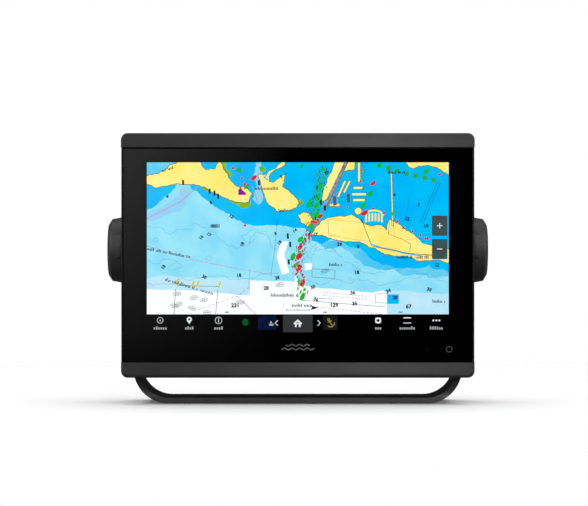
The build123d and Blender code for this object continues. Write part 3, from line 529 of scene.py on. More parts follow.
INSHORE_AREAS = [
    [(0.545, 0.5), (0.59, 0.43), (0.64, 0.45), (0.7, 0.36), (0.72, 0.32), (0.82, 0.3), (0.85, 0.25),
     (0.93, 0.26), (1, 0.25), (1, 0.4), (0.7, 0.5)],
    [(0, 1), (0, 0.88), (0.06, 0.9), (0.12, 1)],
    [(0.27, 0.98), (0.33, 0.86), (0.37, 0.86), (0.36, 0.95), (0.33, 0.99)],
]
SHALLOW_AREAS = [
    [(0, 0.88), (0, 0.69), (0.022, 0.706), (0.042, 0.744), (0.058, 0.77), (0.093, 0.829), (0.1, 0.9)],
    [(0.14, 0.88), (0.145, 0.829), (0.18, 0.777), (0.206, 0.744), (0.226, 0.706), (0.274, 0.66),
     (0.31, 0.615), (0.332, 0.592), (0.42, 0.586), (0.506, 0.569), (0.532, 0.555), (0.545, 0.5),
     (0.583, 0.463), (0.606, 0.492), (0.66, 0.46), (0.706, 0.437), (0.745, 0.36), (0.777, 0.327),
     (0.822, 0.307), (0.887, 0.301), (0.919, 0.307), (0.935, 0.33), (0.945, 0.301), (1, 0.275), (1, 1),
     (0.18, 1)],
]
DEEP_AREAS = [
    [(0, 0), (0, 0.168), (0.093, 0.158), (0.232, 0.142), (0.29, 0.129), (0.336, 0.126), (0.342, 0.224),
     (0.426, 0.217), (0.484, 0.217), (0.532, 0.185), (0.574, 0.172), (0.661, 0.158), (0.745, 0.142),
     (0.784, 0.158), (0.795, 0.14), (0.795, 0)],
]
PALE_AREAS = [
    [(0, 0.235), (0.055, 0.259), (0.13, 0.245), (0.226, 0.24), (0.336, 0.23), (0.336, 0.1), (0, 0.1)],
    [(0.79, 0), (0.79, 0.15), (0.86, 0.155), (0.93, 0.14), (1, 0.135), (1, 0)],
]
MUDDY_AREAS = [
    [(0, 0.66), (0.05, 0.7), (0.09, 0.76), (0.115, 0.83), (0.15, 0.8), (0.13, 0.72), (0.07, 0.66),
     (0, 0.61)],
    [(0.36, 1), (0.355, 0.93), (0.365, 0.85), (0.35, 0.76), (0.37, 0.72), (0.385, 0.76), (0.378, 0.86),
     (0.38, 1)],
]
for name, areas, layer, material, rough in (
    ("chart_inshore_water", INSHORE_AREAS, 1, INSHORE, 0.1),
    ("chart_pale_water", PALE_AREAS, 1, PALE, 0.03),
    ("chart_shallow_water", SHALLOW_AREAS, 2, SHALLOW, 0.12),
    ("chart_deep_water", DEEP_AREAS, 2, DEEP, 0.03),
    ("chart_muddy_water", MUDDY_AREAS, 3, MUDDY, 0.16),
):
    water = Prints(name, layer, material)
    for number, area in enumerate(areas):
        water.shape(coast(area, 31 + 7 * layer + number, rough))
    water.finish()

# Land, with a drying bank outside some shores and a thin shoreline round all of it.
LANDS = [
    [(0, 0.91), (0.026, 0.926), (0.055, 0.945), (0.075, 0.985), (0.1, 1), (0.18, 1), (0.187, 0.965),
     (0.197, 0.952), (0.226, 0.958), (0.237, 1), (0.245, 1), (0.255, 0.952), (0.274, 0.893), (0.3, 0.842),
     (0.335, 0.83), (0.349, 0.79), (0.336, 0.738), (0.303, 0.738), (0.268, 0.761), (0.245, 0.78),
     (0.206, 0.809), (0.167, 0.848), (0.119, 0.854), (0.064, 0.845), (0.029, 0.832), (0, 0.858)],
    [(0.368, 0.92), (0.39, 0.92), (0.425, 0.96), (0.446, 1), (0.46, 1), (0.445, 0.965), (0.405, 0.905),
     (0.405, 0.875), (0.42, 0.87), (0.45, 0.915), (0.466, 0.932), (0.455, 0.868), (0.449, 0.842),
     (0.471, 0.815), (0.484, 0.79), (0.506, 0.732), (0.497, 0.706), (0.465, 0.68), (0.436, 0.673),
     (0.41, 0.712), (0.39, 0.77), (0.378, 0.829)],
    [(0.498, 0.655), (0.52, 0.675), (0.54, 0.665), (0.558, 0.61), (0.532, 0.576), (0.51, 0.605)],
    [(0.545, 0.52), (0.554, 0.569), (0.577, 0.615), (0.596, 0.634), (0.655, 0.644), (0.677, 0.661),
     (0.7, 0.634), (0.71, 0.615), (0.723, 0.595), (0.75, 0.583), (0.777, 0.589), (0.793, 0.553),
     (0.806, 0.628), (0.836, 0.595), (0.861, 0.55), (0.887, 0.524), (0.903, 0.492), (0.93, 0.46), (1, 0.43),
     (1, 0.337), (0.936, 0.35), (0.887, 0.363), (0.826, 0.382), (0.777, 0.405), (0.731, 0.45),
     (0.66, 0.476), (0.606, 0.502)],
    [(0.622, 1), (0.61, 0.932), (0.593, 0.855), (0.58, 0.77), (0.577, 0.744), (0.59, 0.75), (0.62, 0.84),
     (0.64, 0.93), (0.655, 1)],
    [(0.858, 1), (0.865, 0.975), (0.881, 0.958), (0.945, 0.971), (0.974, 0.952), (1, 0.915), (1, 1)],
    [(0.653, 0.939), (0.661, 0.99), (0.665, 1), (0.69, 1), (0.685, 0.945)],
]
BANKS = [
    [(0.18, 0.835), (0.195, 0.812), (0.212, 0.795), (0.205, 0.83)],
    [(0.262, 0.78), (0.285, 0.73), (0.31, 0.702), (0.335, 0.7), (0.345, 0.75), (0.3, 0.76)],
    [(0.242, 1), (0.262, 1), (0.262, 0.955), (0.282, 0.92), (0.274, 0.875), (0.25, 0.9)],
    [(0.37, 0.965), (0.395, 0.972), (0.395, 0.945), (0.375, 0.94)],
    [(0.495, 0.735), (0.512, 0.76), (0.52, 0.735), (0.505, 0.71)],
]
banks = Prints("chart_drying_banks", 4, DRYING)
land = Prints("chart_land", 5, LAND)
shoreline = Prints("chart_shoreline", 6, SHORELINE)
for number, outline in enumerate(LANDS):
    shore = coast(outline, 5 + number, 0.13)
    land.shape(shore)
    for start, end in zip(shore, shore[1:] + shore[:1]):
        if not on_edge(start, end):
            shoreline.line([start, end], 0.42)

for number, outline in enumerate(BANKS):
    banks.shape(coast(outline, 90 + number, 0.2))

# Islands in rows, a causeway and a basin with fingers of land between its berths.
for u, v, width, height, turn in (
    (0.7, 0.832, 6.4, 1.9, 0.0), (0.703, 0.79, 9.6, 1.9, 0.0), (0.703, 0.752, 8.0, 1.9, 0.0),
    (0.622, 0.72, 6.8, 2.2, 0.0), (0.663, 0.84, 9.0, 1.5, 1.1), (0.645, 0.825, 12.0, 1.6, 1.15),
    (0.703, 0.935, 1.9, 13.0, 0.0), (0.812, 0.76, 1.1, 36.0, 0.03),
):
    island = moved(oblong(width, height), *spot(u, v), turn)
    land.shape(island)
    shoreline.line(island + island[:1], 0.34)
basin_x, basin_z = spot(0.752, 0.64)
for i in range(6):
    land.rounded(basin_x - 5.2 + 2.1 * i, basin_z - 0.12 * abs(i - 2.5) ** 2, 1.15, 5.6, 0.55)
land.arc(basin_x, basin_z + 0.4, 6.4, 1.1, 10, 170, squash=0.62)
islet = spot(0.7, 0.68)
land.disc(*islet, 2.4)
shoreline.arc(*islet, 2.4, 0.34)
banks.finish()
land.finish()
shoreline.finish()

roads = Prints("chart_roads", 6, ROAD)
MAIN_ROAD = spots((0.535, 0.5), (0.565, 0.6), (0.588, 0.7), (0.61, 0.79), (0.637, 0.9), (0.66, 1.0))
CAUSEWAY = MAIN_ROAD[2:]
roads.line(MAIN_ROAD[:3], 1.3)
roads.line(CAUSEWAY, 2.5)
roads.line(spots((0.61, 0.7), (0.612, 0.78), (0.628, 0.8), (0.632, 0.73), (0.61, 0.7)), 0.5)
roads.finish()
piers = Prints("chart_piers", 7, GREY_INK)
for x, z in spots((0.622, 0.748), (0.668, 0.765)):
    piers.rectangle(x, z, 2.1, 5.8, 0.05)
piers.line([(x + 1.2, z) for x, z in CAUSEWAY], 0.4)
piers.finish()
lanes = Prints("chart_lanes", 7, MAGENTA)
lanes.line([(x - 1.3, z) for x, z in CAUSEWAY], 0.2)
lanes.finish()
lagoons = Prints("chart_lagoons", 7, SHALLOW)
lagoons.line(spots((0.742, 0.463), (0.784, 0.434), (0.826, 0.421), (0.842, 0.405), (0.916, 0.382)), 0.75)
lagoons.arc(*spot(0.923, 0.499), 3.0, 1.7)
lagoons.line(spots((0.41, 0.965), (0.39, 0.9), (0.4, 0.885)), 0.9)
lagoons.finish()
streets = Prints("chart_streets", 7, STREET)
for route in (
    ((0.6, 0.62), (0.602, 0.53), (0.66, 0.5), (0.74, 0.48)),
    ((0.6, 0.625), (0.71, 0.605), (0.75, 0.57), (0.78, 0.565)),
    ((0.8, 0.53), (0.815, 0.59), (0.82, 0.53)), ((0.86, 0.49), (0.89, 0.5), (0.9, 0.48)),
    ((0.76, 0.44), (0.83, 0.41), (0.9, 0.395), (0.99, 0.375)), ((0.67, 0.975), (0.683, 0.96)),
):
    streets.line(spots(*route), 0.28)
streets.finish()

# Lines over the chart: contours, limits and tracks.
contours = Prints("chart_contours", 7, CONTOUR)
CONTOUR_LINES = [
    [(0, 0.58), (0.07, 0.53), (0.15, 0.55), (0.155, 0.6), (0.2, 0.56), (0.24, 0.5), (0.3, 0.43),
     (0.34, 0.46), (0.36, 0.54), (0.4, 0.52), (0.43, 0.42)],
    [(0, 0.2), (0.12, 0.24), (0.25, 0.25), (0.36, 0.24), (0.44, 0.27)],
    [(0.54, 0.5), (0.56, 0.42), (0.62, 0.42), (0.68, 0.33), (0.72, 0.27), (0.8, 0.3), (0.9, 0.27),
     (1, 0.28)],
    [(0.52, 0.23), (0.6, 0.21), (0.7, 0.23), (0.82, 0.21), (0.9, 0.24), (1, 0.2)],
    [(0.36, 0.5), (0.33, 0.47), (0.31, 0.52), (0.345, 0.555), (0.4, 0.54)],
    [(0.54, 0.43), (0.56, 0.46), (0.545, 0.37), (0.53, 0.38), (0.54, 0.43)],
    [(0.0, 0.36), (0.03, 0.33), (0.09, 0.36), (0.12, 0.31), (0.07, 0.3), (0.1, 0.35)],
]
for number, route in enumerate(CONTOUR_LINES):
    dice = random.Random(70 + number)
    points = spots(*route)
    bends = points[:1]
    for start, end in zip(points, points[1:]):
        bends += bent(start, end, dice, 0.2, 1.2) + [end]
    contours.line(bends, 0.16)
for u, v, radius in ((0.205, 0.37, 1.9), (0.618, 0.42, 1.3), (0.675, 0.235, 1.2), (0.03, 0.49, 1.5)):
    contours.arc(*spot(u, v), radius, 0.16, squash=0.8)
contours.finish()

limits = Prints("chart_limits", 8, MAGENTA)
for route, dash, gap in (
    (((0, 0.63), (0.11, 0.74), (0.17, 0.84)), 0, 0),
    (((0, 0.45), (0.13, 0.37), (0.3, 0.3), (0.42, 0.26)), 2.4, 0.9),
    (((0.34, 0.3), (0.34, 0.12)), 1.4, 0.7),
    (((0.17, 0.03), (0.3, 0.12), (0.345, 0.19)), 2.2, 1.0),
    (((0.3, 0.12), (0.36, 0.0)), 0, 0),
    (((0.455, 0.12), (0.45, 0.0)), 0.8, 0.8),
    (((0.585, 0.145), (0.73, 0.118)), 1.3, 0.8),
    (((0.585, 0.125), (0.73, 0.098)), 1.3, 0.8),
    (((0.56, 0.05), (0.78, 0.0)), 1.8, 1.0),
    (((0.37, 0.73), (0.36, 0.78), (0.35, 0.84)), 0, 0),
):
    if dash:
        limits.dashed(spots(*route), 0.3, dash, gap)
    else:
        limits.line(spots(*route), 0.3)
limits.finish()

ink = Prints("chart_ink_lines", 8, INK)
for route, width in (
    (((0.433, 0.63), (0.422, 0.4), (0.41, 0.25)), 0.16),
    (((0.235, 0.16), (0.228, 0.0)), 0.3),
    (((0.095, 0.165), (0.09, 0.0)), 0.3),
    (((0.1, 0.19), (0.24, 0.183)), 0.25),
    (((0.5, 0.095), (0.7, 0.062), (0.79, 0.05)), 0.25),
    (((0.57, 0.105), (0.62, 0.1)), 0.25),
    (((0.71, 0.63), (0.745, 0.45), (0.87, 0.4), (0.985, 0.385)), 0.35),
    (((0.803, 0.61), (0.8, 0.53), (0.85, 0.49), (0.875, 0.46), (0.87, 0.41)), 0.22),
    (((0.547, 0.3), (0.547, 0.245), (0.623, 0.235), (0.623, 0.29), (0.547, 0.3)), 0.2),
    (((0.6, 0.62), (0.602, 0.52), (0.63, 0.51)), 0.12),
    (((0.962, 0.87), (0.905, 0.6)), 0.25),
    (((0.972, 0.87), (0.915, 0.6)), 0.25),
    (((0.87, 0.77), (0.86, 0.66)), 0.14),
    (((0.758, 0.133), (0.798, 0.137), (0.796, 0.073), (0.757, 0.077), (0.758, 0.133)), 0.2),
):
    ink.line(spots(*route), width)
dice = random.Random(12)
for x, z in spots(  # oval symbols with bars across them
    (0.1, 0.135), (0.155, 0.11), (0.19, 0.095), (0.09, 0.055), (0.15, 0.04), (0.2, 0.012), (0.31, 0.08),
    (0.105, 0.065), (0.59, 0.285), (0.44, 0.195),
):
    turn = dice.uniform(-0.3, 0.5)
    ink.arc(x, z, 2.6, 0.22, squash=0.48, turn=turn)
    for shift in (-1.1, 0.0, 1.1):
        reach = 0.7 if shift else 1.2
        ink.rectangle(x + shift * math.cos(turn), z + shift * math.sin(turn), 0.2, 2 * reach, turn)
    ink.rectangle(x, z, 4.2, 0.2, turn)
ink.finish()

# The dredged channel: white edges low down, and buoys and beacons along both sides of it.
dredged = Prints("chart_channel", 3, DEEP)
for outline in (
    ((0.445, 0.48), (0.47, 0.48), (0.455, 0.395), (0.472, 0.275), (0.448, 0.26), (0.43, 0.385)),
    ((0.522, 0.335), (0.548, 0.335), (0.546, 0.295), (0.524, 0.29)),
    ((0.49, 0.27), (0.5, 0.24), (0.502, 0.2), (0.49, 0.2)),
):
    dredged.shape(spots(*outline))
dredged.finish()
anchorage = Prints("chart_anchorage", 3, SHALLOW)
anchorage.rectangle(*spot(0.816, 0.1), 7.4, 6.2)
anchorage.shape(spots((0.545, 0.51), (0.588, 0.495), (0.58, 0.46), (0.565, 0.475), (0.545, 0.485)))
anchorage.finish()

LOZENGE = ((0, -1), (0.62, 0), (0, 1), (-0.62, 0))
FLAG = ((-0.5, -0.9), (0.35, -0.35), (0.75, 0.85), (-0.2, 0.5))
BLOB = ((-0.55, -1.0), (0.05, -1.05), (0.55, -0.5), (0.6, 0.5), (0.25, 1.0), (-0.25, 0.7), (-0.6, -0.1))
CONE = ((-0.85, -0.75), (0.85, -0.75), (0, 0.95))
SQUARE = oblong(1.6, 1.6)
CHANNEL = [(0.588, 0.965), (0.578, 0.875), (0.568, 0.78), (0.556, 0.68), (0.548, 0.585), (0.523, 0.49),
           (0.507, 0.4), (0.498, 0.32), (0.508, 0.23), (0.517, 0.12)]


def along(route, share):
    """Place at a share of the way along a route, and the way it runs there."""
    at = share * (len(route) - 1)
    leg = min(int(at), len(route) - 2)
    start, end = spot(*route[leg]), spot(*route[leg + 1])
    rest = at - leg
    place = (start[0] + rest * (end[0] - start[0]), start[1] + rest * (end[1] - start[1]))
    return place, unit(start, end)


reds = Prints("chart_red_marks", 9, RED)
greens = Prints("chart_green_marks", 9, GREEN)
blacks = Prints("chart_black_marks", 10, INK)
greys = Prints("chart_grey_marks", 8, GREY_INK)
yellows = Prints("chart_yellow_marks", 9, YELLOW)
dice = random.Random(3)
MARKS = 76
for i in range(MARKS):  # mostly green ones far up, and more red ones lower down
    (x, z), way = along(CHANNEL, i / (MARKS - 1))
    reach = (-1 if i % 2 else 1) * dice.uniform(0.2, 2.6)
    x, z = x - way[1] * reach, z + way[0] * reach
    red = dice.random() < (0.1 if i < 34 else 0.65 if i < 66 else 0.4)
    shape = dice.choice((LOZENGE, FLAG, FLAG, CONE))
    (reds if red else greens).turned(shape, x, z, dice.uniform(-0.5, 0.6), dice.uniform(0.9, 1.8))
    for _ in range(3 if i < 44 else 1):
        scrawl = dice.choice((blacks, greys, greys))
        near = x + dice.uniform(-3, 2.4), z + dice.uniform(-1.4, 1.4)
        scrawl.rectangle(*near, 0.4, dice.uniform(0.7, 2.2), dice.uniform(-0.6, 0.6))
for u, v, size in (
    (0.572, 0.842, 3.0), (0.567, 0.777, 2.6), (0.538, 0.728, 2.8), (0.562, 0.719, 2.2), (0.561, 0.654, 2.9),
    (0.545, 0.586, 2.5), (0.74, 0.796, 2.4), (0.716, 0.718, 2.4), (0.926, 0.942, 2.5), (0.514, 0.978, 1.6),
    (0.509, 0.495, 2.4), (0.516, 0.119, 2.6), (0.484, 0.382, 2.7), (0.492, 0.324, 1.9), (0.816, 0.667, 1.7),
    (0.38, 0.962, 1.2),
):
    greens.turned(BLOB, *spot(u, v), dice.uniform(-0.6, -0.1), size)
for u, v, size in (
    (0.508, 0.444, 2.3), (0.504, 0.385, 2.7), (0.506, 0.307, 2.2), (0.516, 0.21, 2.6), (0.575, 0.647, 1.9),
    (0.561, 0.615, 2.0), (0.722, 0.669, 2.5), (0.75, 0.864, 2.0), (0.355, 0.9, 2.2),
):
    reds.turned(BLOB, *spot(u, v), -0.7 if u > 0.55 or u < 0.4 else dice.uniform(-0.5, 0.1), size)
for route, count, prints, shape in (
    (((0.77, 0.98), (0.86, 0.925), (0.95, 0.885)), 7, greens, SQUARE),
    (((0.815, 0.67), (0.84, 0.58), (0.89, 0.54), (0.93, 0.5)), 6, reds, CONE),
    (((0.72, 0.93), (0.715, 0.83), (0.72, 0.71)), 5, greens, FLAG),
    (((0.71, 0.95), (0.708, 0.88), (0.75, 0.7), (0.785, 0.67)), 4, reds, CONE),
    (((0.285, 0.965), (0.315, 0.9), (0.325, 0.86), (0.31, 0.83)), 4, reds, CONE),
    (((0.305, 0.95), (0.33, 0.84)), 2, greens, SQUARE),
):
    for i in range(count):
        (x, z), _ = along(route, i / (count - 1))
        scale = dice.uniform(1.5, 1.75) if shape is SQUARE else dice.uniform(1.1, 1.4)
        if shape is SQUARE:
            greys.turned(SQUARE, x, z, 0.0, scale + 0.3)
            blacks.rectangle(x, z, 0.4, 0.4)
        prints.turned(shape, x, z, dice.uniform(-0.15, 0.15), scale)
reds.turned(FLAG, *spot(0.97, 0.92), -0.5, 1.6)
for u, v, radius in ((0.325, 0.585, 0.8), (0.923, 0.499, 0.7), (0.665, 0.705, 0.6)):
    reds.disc(*spot(u, v), radius)
for x, z in spots(
    (0.12, 0.868), (0.208, 0.81), (0.224, 0.797), (0.236, 0.777), (0.371, 0.865), (0.577, 0.735), (0.59, 0.7),
    (0.467, 0.515), (0.475, 0.46), (0.47, 0.345),
):
    blacks.rectangle(x, z, 1.25, 3.4, 0.05)
for x, z in spots((0.1, 0.212), (0.153, 0.2), (0.168, 0.2), (0.24, 0.193)):
    yellows.turned(((-0.5, -1.1), (0.15, -0.9), (0.6, 1.1), (-0.1, 1.0)), x, z, -0.1, 2.0)
violet = Prints("chart_restricted_mark", 9, PURPLE)
violet.shape(spots((0.303, 0.822), (0.312, 0.825), (0.329, 0.797), (0.329, 0.787), (0.303, 0.785)))
violet.finish()
for prints in (reds, greens, yellows, greys):
    prints.finish()

# Soundings and the scale bar.
soundings = Prints("chart_soundings", 10, INK)
for number, u, v, size, turn in (
    ("18", 0.055, 0.31, 3.0, 0.9), ("18", 0.305, 0.255, 3.2, 0.1), ("30", 0.19, 0.245, 3.0, -0.5),
    ("16", 0.18, 0.505, 3.0, 0.9), ("17", 0.205, 0.525, 3.0, -0.7), ("12", 0.28, 0.645, 3.0, -0.6),
    ("18", 0.316, 0.46, 3.0, 1.1), ("18", 0.44, 0.47, 3.0, 0.9), ("9", 0.426, 0.53, 3.0, 0.0),
    ("6", 0.068, 0.775, 3.0, -0.3), ("28", 0.395, 0.172, 3.4, 0.0), ("231", 0.293, 0.058, 3.6, 0.0),
    ("129", 0.62, 0.06, 3.6, 0.0), ("67", 0.867, 0.05, 3.6, 0.0), ("36", 0.682, 0.142, 3.2, 0.1),
    ("36", 0.688, 0.07, 3.2, 0.1), ("30", 0.55, 0.178, 3.2, 0.3), ("36", 0.56, 0.098, 3.2, -0.3),
    ("18", 0.695, 0.275, 3.4, 0.0), ("29", 0.638, 0.46, 3.2, -0.1), ("12", 0.96, 0.325, 3.2, -0.1),
    ("22", 0.862, 0.628, 3.2, -0.3), ("10", 0.925, 0.58, 3.0, 0.3), ("8", 0.7, 0.445, 3.0, 0.2),
    ("34", 0.8, 0.153, 3.2, 0.4), ("30", 0.935, 0.163, 3.2, -0.3), ("20", 0.822, 0.11, 3.2, 0.0),
    ("28", 0.432, 0.24, 3.0, 0.2), ("17", 0.558, 0.525, 3.0, 0.0), ("47", 0.595, 0.93, 3.0, -0.2),
    ("8", 0.212, 0.735, 2.8, 0.4), ("5", 0.445, 0.905, 2.8, 0.5), ("0001", 0.227, 0.58, 3.2, 0.0),
    ("4", 0.82, 0.785, 2.8, 0.3), ("7", 0.9, 0.72, 2.8, 0.0), ("14", 0.49, 0.55, 2.8, 0.6),
):
    soundings.figures(number, *spot(u, v), size, turn)
soundings.finish()
scale_bar = spots((0.462, 0.028), (0.538, 0.028))
blacks.line(scale_bar, 0.3)
(left, scale_z), (right, _) = scale_bar
for x in (left, (left + right) / 2, right):
    blacks.rectangle(x, scale_z + 0.25, 0.3, 1.3)
blacks.turned(((-2.1, 1.5), (-1.1, 0), (-2.1, -1.5), (3.1, 0)), *spot(0.553, 0.043))
for u in (0.265, 0.59, 0.84):
    blacks.rectangle(*spot(u, 0.014), 2.6, 0.6)
blacks.finish()

# Place names are only short dark strokes, so that there is no lettering.
strokes = Prints("chart_greeked_names", 10, INK)
for u, v, count, turn in (
    (0.357, 0.825, 8, 0.0), (0.435, 0.678, 5, 0.08), (0.826, 0.372, 11, 0.0), (0.603, 0.324, 5, 0.0),
    (0.945, 0.082, 5, 0.0), (0.405, 0.122, 10, 0.0), (0.06, 0.227, 17, -0.29), (0.0, 0.43, 15, -0.19),
    (0.48, 0.055, 7, 0.0), (0.797, 0.932, 6, 0.0), (0.05, 0.94, 4, 0.3),
):
    x, z = spot(u, v)
    dice = random.Random(count * 31)
    for i in range(count):
        step = 1.0 + 1.95 * i
        for part in (-0.5, 0.45):
            tall = dice.choice((1.2, 1.5, 2.1))
            if dice.random() > 0.1:
                here = max(-WIDE + 0.6, x + (step + part) * math.cos(turn))
                strokes.rectangle(here, z + step * math.sin(turn) + (tall - 1.2) / 2, 0.55, tall, turn)
strokes.finish()

# Menu bar: a dark strip with tiles and icons, and rows of plain strokes for its labels.
bar_z = (BAR_TOP - HIGH) / 2
menu = Prints("menu_bar", 3, NIGHT)
menu.rectangle(0, bar_z, 2 * WIDE, HIGH + BAR_TOP)
menu.finish()
icon_z = bar_z + 1.9
COMPASS_X, PIN_X, INFO_X, BUOY_X, TOOLS_X, DOTS_X = -90.8, -71.6, -52.3, 53.0, 72.2, 91.4
for name, material, x, z, width, height in (
    ("menu_tiles", TILE, 0, bar_z - 0.1, 19.6, 11.6),
    ("menu_navy_tile", NAVY_TILE, -20.2, bar_z + 0.2, 12.0, 9.2),
    ("menu_dark_tile", DARK_TILE, 21.4, bar_z + 0.2, 9.6, 9.2),
):
    tile = Prints(name, 4, material)
    tile.rectangle(x, z, width, height)
    tile.finish()
zoom = Prints("zoom_buttons", 11, BUTTON)
zoom_x = WIDE - 5.95
plus_z, minus_z = spot(0, 0.583)[1], spot(0, 0.43)[1]
for z in (plus_z, minus_z):
    zoom.rounded(zoom_x, z, 10.2, 13.4, 0.5)
zoom.finish()

whites = Prints("menu_white_icons", 12, WHITE)
whites.rectangle(zoom_x, plus_z, 3.6, 0.55)
whites.rectangle(zoom_x, plus_z, 0.55, 3.6)
whites.rectangle(zoom_x, minus_z, 3.6, 0.55)
# Home.
whites.turned(((-3.0, -2.0), (-2.2, -2.7), (0, -0.8), (2.2, -2.7), (3.0, -2.0), (0, 0.8)), 0, icon_z)
for x in (-1.305, 1.305):
    whites.rectangle(x, icon_z - 3.1, 1.2, 2.6)
whites.rectangle(0, icon_z - 2.2, 3.6, 0.9)
# Back and forward.
for x, way in ((-14.0, 1), (14.0, -1)):
    whites.line(moved(((way * 0.9, 1.8), (way * -0.9, 0), (way * 0.9, -1.8)), x, bar_z + 0.2), 0.45)
# Map pin.
whites.arc(PIN_X, icon_z + 0.6, 1.25, 1.0)
whites.turned(((-1.55, 0.1), (1.55, 0.1), (0, -2.5)), PIN_X, icon_z)
# Information.
whites.arc(INFO_X, icon_z, 2.2, 0.3)
whites.rectangle(INFO_X, icon_z - 0.45, 0.5, 1.7)
whites.disc(INFO_X, icon_z + 1.1, 0.36)
# Lifebuoy.
whites.arc(BUOY_X, icon_z, 1.55, 0.95)
for angle in (math.pi / 4 + quarter * math.pi / 2 for quarter in range(4)):
    whites.rectangle(BUOY_X + 1.6 * math.cos(angle), icon_z + 1.6 * math.sin(angle), 1.5, 0.7, angle)
# Tool bars and dots.
whites.rectangle(TOOLS_X, icon_z + 1.7, 5.2, 0.7)
whites.rectangle(TOOLS_X, icon_z - 1.7, 5.2, 0.5)
for i in (-1, 0, 1):
    whites.disc(DOTS_X + 2.0 * i, icon_z, 0.62)
whites.finish()

icons = Prints("menu_grey_icons", 12, GREY)
icons.arc(COMPASS_X, icon_z, 1.9, 0.55)
icons.turned(CONE, COMPASS_X, icon_z, 0.0, 0.8)
for x, letters in ((COMPASS_X, 6), (PIN_X, 4), (INFO_X, 4), (BUOY_X, 3), (TOOLS_X, 7), (DOTS_X, 6)):
    dice = random.Random(int(100 + x))
    for i in range(letters):
        tall = dice.choice((1.4, 1.4, 2.0))
        icons.rectangle(x + 1.5 * (i - (letters - 1) / 2), bar_z - 3.4 + (tall - 1.4) / 2, 0.95, tall)
# A boat on the navy tile.
icons.turned(((-19.2, -0.4), (-15.6, -0.4), (-16.4, -1.6), (-18.6, -1.6)), 0, bar_z)
icons.turned(((-18.4, 0), (-16.8, 0), (-17.4, 1.3), (-18.2, 1.3)), 0, bar_z)
icons.finish()

anchor = Prints("menu_anchor_icon", 12, OLIVE)
ANCHOR_X = 21.8
anchor.line(moved(((-1.2, 2.0), (1.1, -1.9)), ANCHOR_X, bar_z), 0.6)
anchor.arc(ANCHOR_X - 1.5, bar_z + 2.5, 0.7, 0.45, steps=14)
anchor.arc(ANCHOR_X - 0.1, bar_z + 0.1, 2.5, 0.6, 195, 345, 14, turn=0.5)
anchor.line(moved(((-2.0, 0.6), (0.7, 1.9)), ANCHOR_X, bar_z), 0.5)
anchor.finish()
green_icon = Prints("menu_green_icon", 12, DIM_GREEN)
green_icon.disc(-34.6, icon_z - 1.2, 2.1, squash=1.1)
green_icon.finish()

# ---------------------------------------- print on the glass
# Behind the glass, in its black border: an emblem of plain waves and the power symbol.
glass_low, glass_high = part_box("cover_glass")
LEGEND_INK = printed("legend_ink", (150, 153, 157), (172, 175, 179), 0.3)
border_print = (glass_high.y - 0.03 * MM, glass_high.y - 0.01 * MM)
legend_z = (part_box("light_sensor")[0].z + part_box("light_sensor")[1].z) / 2 / MM - SCREEN_Z / MM
emblem = Prints("wave_emblem", border_print, LEGEND_INK, slot="black_ink")
STEPS, CREST_TO_CREST = 40, 5.0
for row, half in ((1.25, 8.0), (-1.25, 11.0)):
    across = [half * (2 * i / STEPS - 1) for i in range(STEPS + 1)]
    wave = [(x, 0.55 * math.sin(2 * math.pi * x / CREST_TO_CREST)) for x in across]
    emblem.line(moved(wave, 0, legend_z + 1.4 + row), 0.75)
emblem.finish()
key_low, key_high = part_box("key_light_guide")
key_x = (key_low.x + key_high.x) / 2 / MM - SCREEN_X / MM
symbol = Prints("power_symbol", border_print, LEGEND_INK, slot="black_ink")
symbol.arc(key_x, legend_z, 1.9, 0.38, 112, 428)
symbol.rectangle(key_x, legend_z + 1.7, 0.38, 1.7)
symbol.finish()

# ---------------------------------------- stage
body_low, body_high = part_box("front_bezel")
MIDDLE = Vector((0.0, 0.0, (body_low.z + body_high.z) / 2))


def white_floor():
    """A pale surface that fades into the white background and looks darker from the object."""
    made = Shader("studio_floor")
    grain = made.tinted(made.noise(6 * MM, 3), (0.61, 0.61, 0.61, 1), (0.63, 0.63, 0.63, 1))
    glow = made.node("Emission", WHITE_LIGHT, 0.07)
    seen = made.node("AddShader", made.node("BsdfDiffuse", grain), glow)
    met = made.node("BsdfDiffuse", (0.08, 0.08, 0.08, 1))
    whole = made.node("MixShader", made.ray("Camera"), met, seen)
    away = made.worked("VectorMath", "LENGTH", made.place).outputs["Value"]
    air = made.node("BsdfTransparent")
    return made.surface(made.node("MixShader", made.mapped(away, 0.2, 0.7), whole, air))


round_floor = bmesh.new()
bmesh.ops.create_circle(round_floor, cap_ends=True, radius=0.8, segments=96)
floor = built("floor", round_floor, white_floor())
floor.location.z = -0.02 * MM


def sheen():
    """The glow of a card beside the camera, brightest at its upper left, that the glass mirrors."""
    made = Shader("sheen_card")
    axes = made.node("SeparateXYZ", made.place)
    across = made.mapped(axes.outputs["X"], -0.008, -0.232)
    up = made.mapped(axes.outputs["Z"], -0.186, 0.148)
    level = made.worked("Math", "MULTIPLY", made.worked("Math", "MULTIPLY", across, up), 0.34)
    glow = made.node("Emission", WHITE_LIGHT, level)
    return made.surface(made.node("MixShader", made.ray("Glossy"), made.node("BsdfTransparent"), glow))


flat_card = bmesh.new()
corners = [(x, 0, z) for x, z in ((-0.6, -0.5), (0.3, -0.5), (0.3, 0.4), (-0.6, 0.4))]
flat_card.faces.new([flat_card.verts.new(corner) for corner in corners])
card = built("sheen_card", flat_card, sheen())
card.location = (0, -1.75, MIDDLE.z)


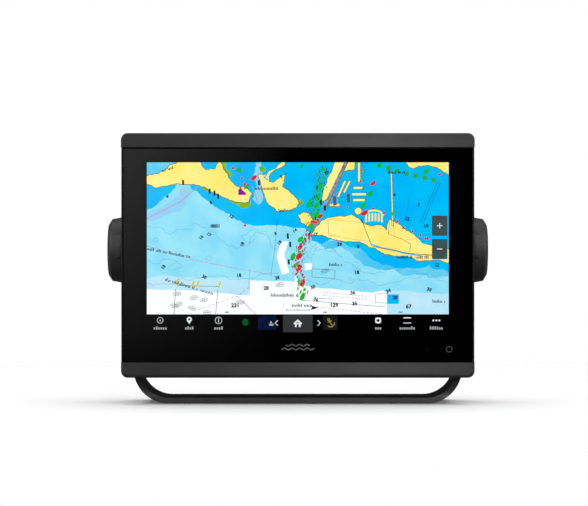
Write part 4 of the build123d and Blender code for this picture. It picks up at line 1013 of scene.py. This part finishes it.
# ---------------------------------------- light
def soft_box(name, where, aim, width, height, power, reached=()):
    """A rectangular studio light at a place, turned to face another. It may reach some objects only."""
    lamp = bpy.data.lights.new(name, "AREA")
    lamp.shape, lamp.size, lamp.size_y, lamp.energy = "RECTANGLE", width, height, power
    made = placed(name, lamp, where)
    made.rotation_euler = (Vector(aim) - Vector(where)).to_track_quat("-Z", "Y").to_euler()
    if reached:
        made.light_linking.receiver_collection = bpy.data.collections.new(name + "_reaches")
        for entry in reached:
            made.light_linking.receiver_collection.objects.link(entry)
    return made


BAIL = [NODES["bail_bracket"]]
TRIMS = [NODES["top_trim"], NODES["bottom_trim"]]
KNOBS = [NODES["left_knob"], NODES["right_knob"]]
IN_FRONT = BAIL + TRIMS + KNOBS + [NODES["front_bezel"], NODES["cover_glass"]]
BEHIND = [entry for entry in NODES.values() if entry not in IN_FRONT]  # what the front view doesn't show
soft_box("key_light", (0.1, -1.3, 1.1), MIDDLE, 1.3, 0.6, 5)
soft_box("top_light", (0.0, 0.1, 1.25), (0, 0.05, 0), 1.4, 1.1, 1)
soft_box("floor_light", (0.0, 0.25, 1.6), (0, 0.25, 0), 2.4, 2.0, 53, [floor])
soft_box("back_light", (0.0, 1.1, 1.0), MIDDLE, 1.2, 0.6, 20, BEHIND)
soft_box("bail_light", (0.5, -1.75, 0.3), MIDDLE, 0.8, 0.3, 7.5, BAIL)
soft_box("knob_top_light", (0, 0.28, 1.2), MIDDLE, 0.8, 0.25, 3.6, KNOBS)
for side, way, power in (("left", -1, 6), ("right", 1, 6.5)):
    soft_box(side + "_light", (1.15 * way, -0.8, 0.5), MIDDLE, 0.5, 0.6, power)
    soft_box(side + "_back_light", (1.25 * way, 0.5, 0.45), MIDDLE, 0.7, 0.7, 14, BEHIND)
    soft_box(side + "_rim_light", (1.2 * way, -0.2, 0.7), MIDDLE, 0.5, 0.5, 9, KNOBS)
accent = soft_box("accent_light", (0.06, -0.28, 0.1), MIDDLE + Vector((0.06, 0, 0)), 0.04, 0.3, 0.23, TRIMS)
accent.visible_camera = False

# A white background for the camera, and a dim room for everything else.
scene = bpy.context.scene
scene.world = bpy.data.worlds.new("studio")
scene.world.use_nodes = True
room = Nodes(scene.world.node_tree)
backdrop = room.tree.nodes["Background"]
room.feed(backdrop.inputs["Color"], WHITE_LIGHT)
both = room.node("MixShader", room.ray("Camera"), room.node("Background", Strength=0.03), backdrop)
room.feed(room.tree.nodes["World Output"].inputs["Surface"], both)

# ---------------------------------------- camera
scene.view_settings.view_transform = "Standard"
scene.view_settings.look = "None"
VIEW_WIDTH, DISTANCE = 0.3875, 1.6  # both at the glass
lens = bpy.data.cameras.new("camera")
lens.sensor_width = 36.0
lens.lens = lens.sensor_width * DISTANCE / VIEW_WIDTH
lens.clip_start, lens.clip_end = 0.05, 20
scene.camera = placed("camera", lens, (-2.5 * MM, glass_low.y - DISTANCE, MIDDLE.z + 1.65 * MM))
scene.camera.rotation_euler = (math.pi / 2, 0, 0)
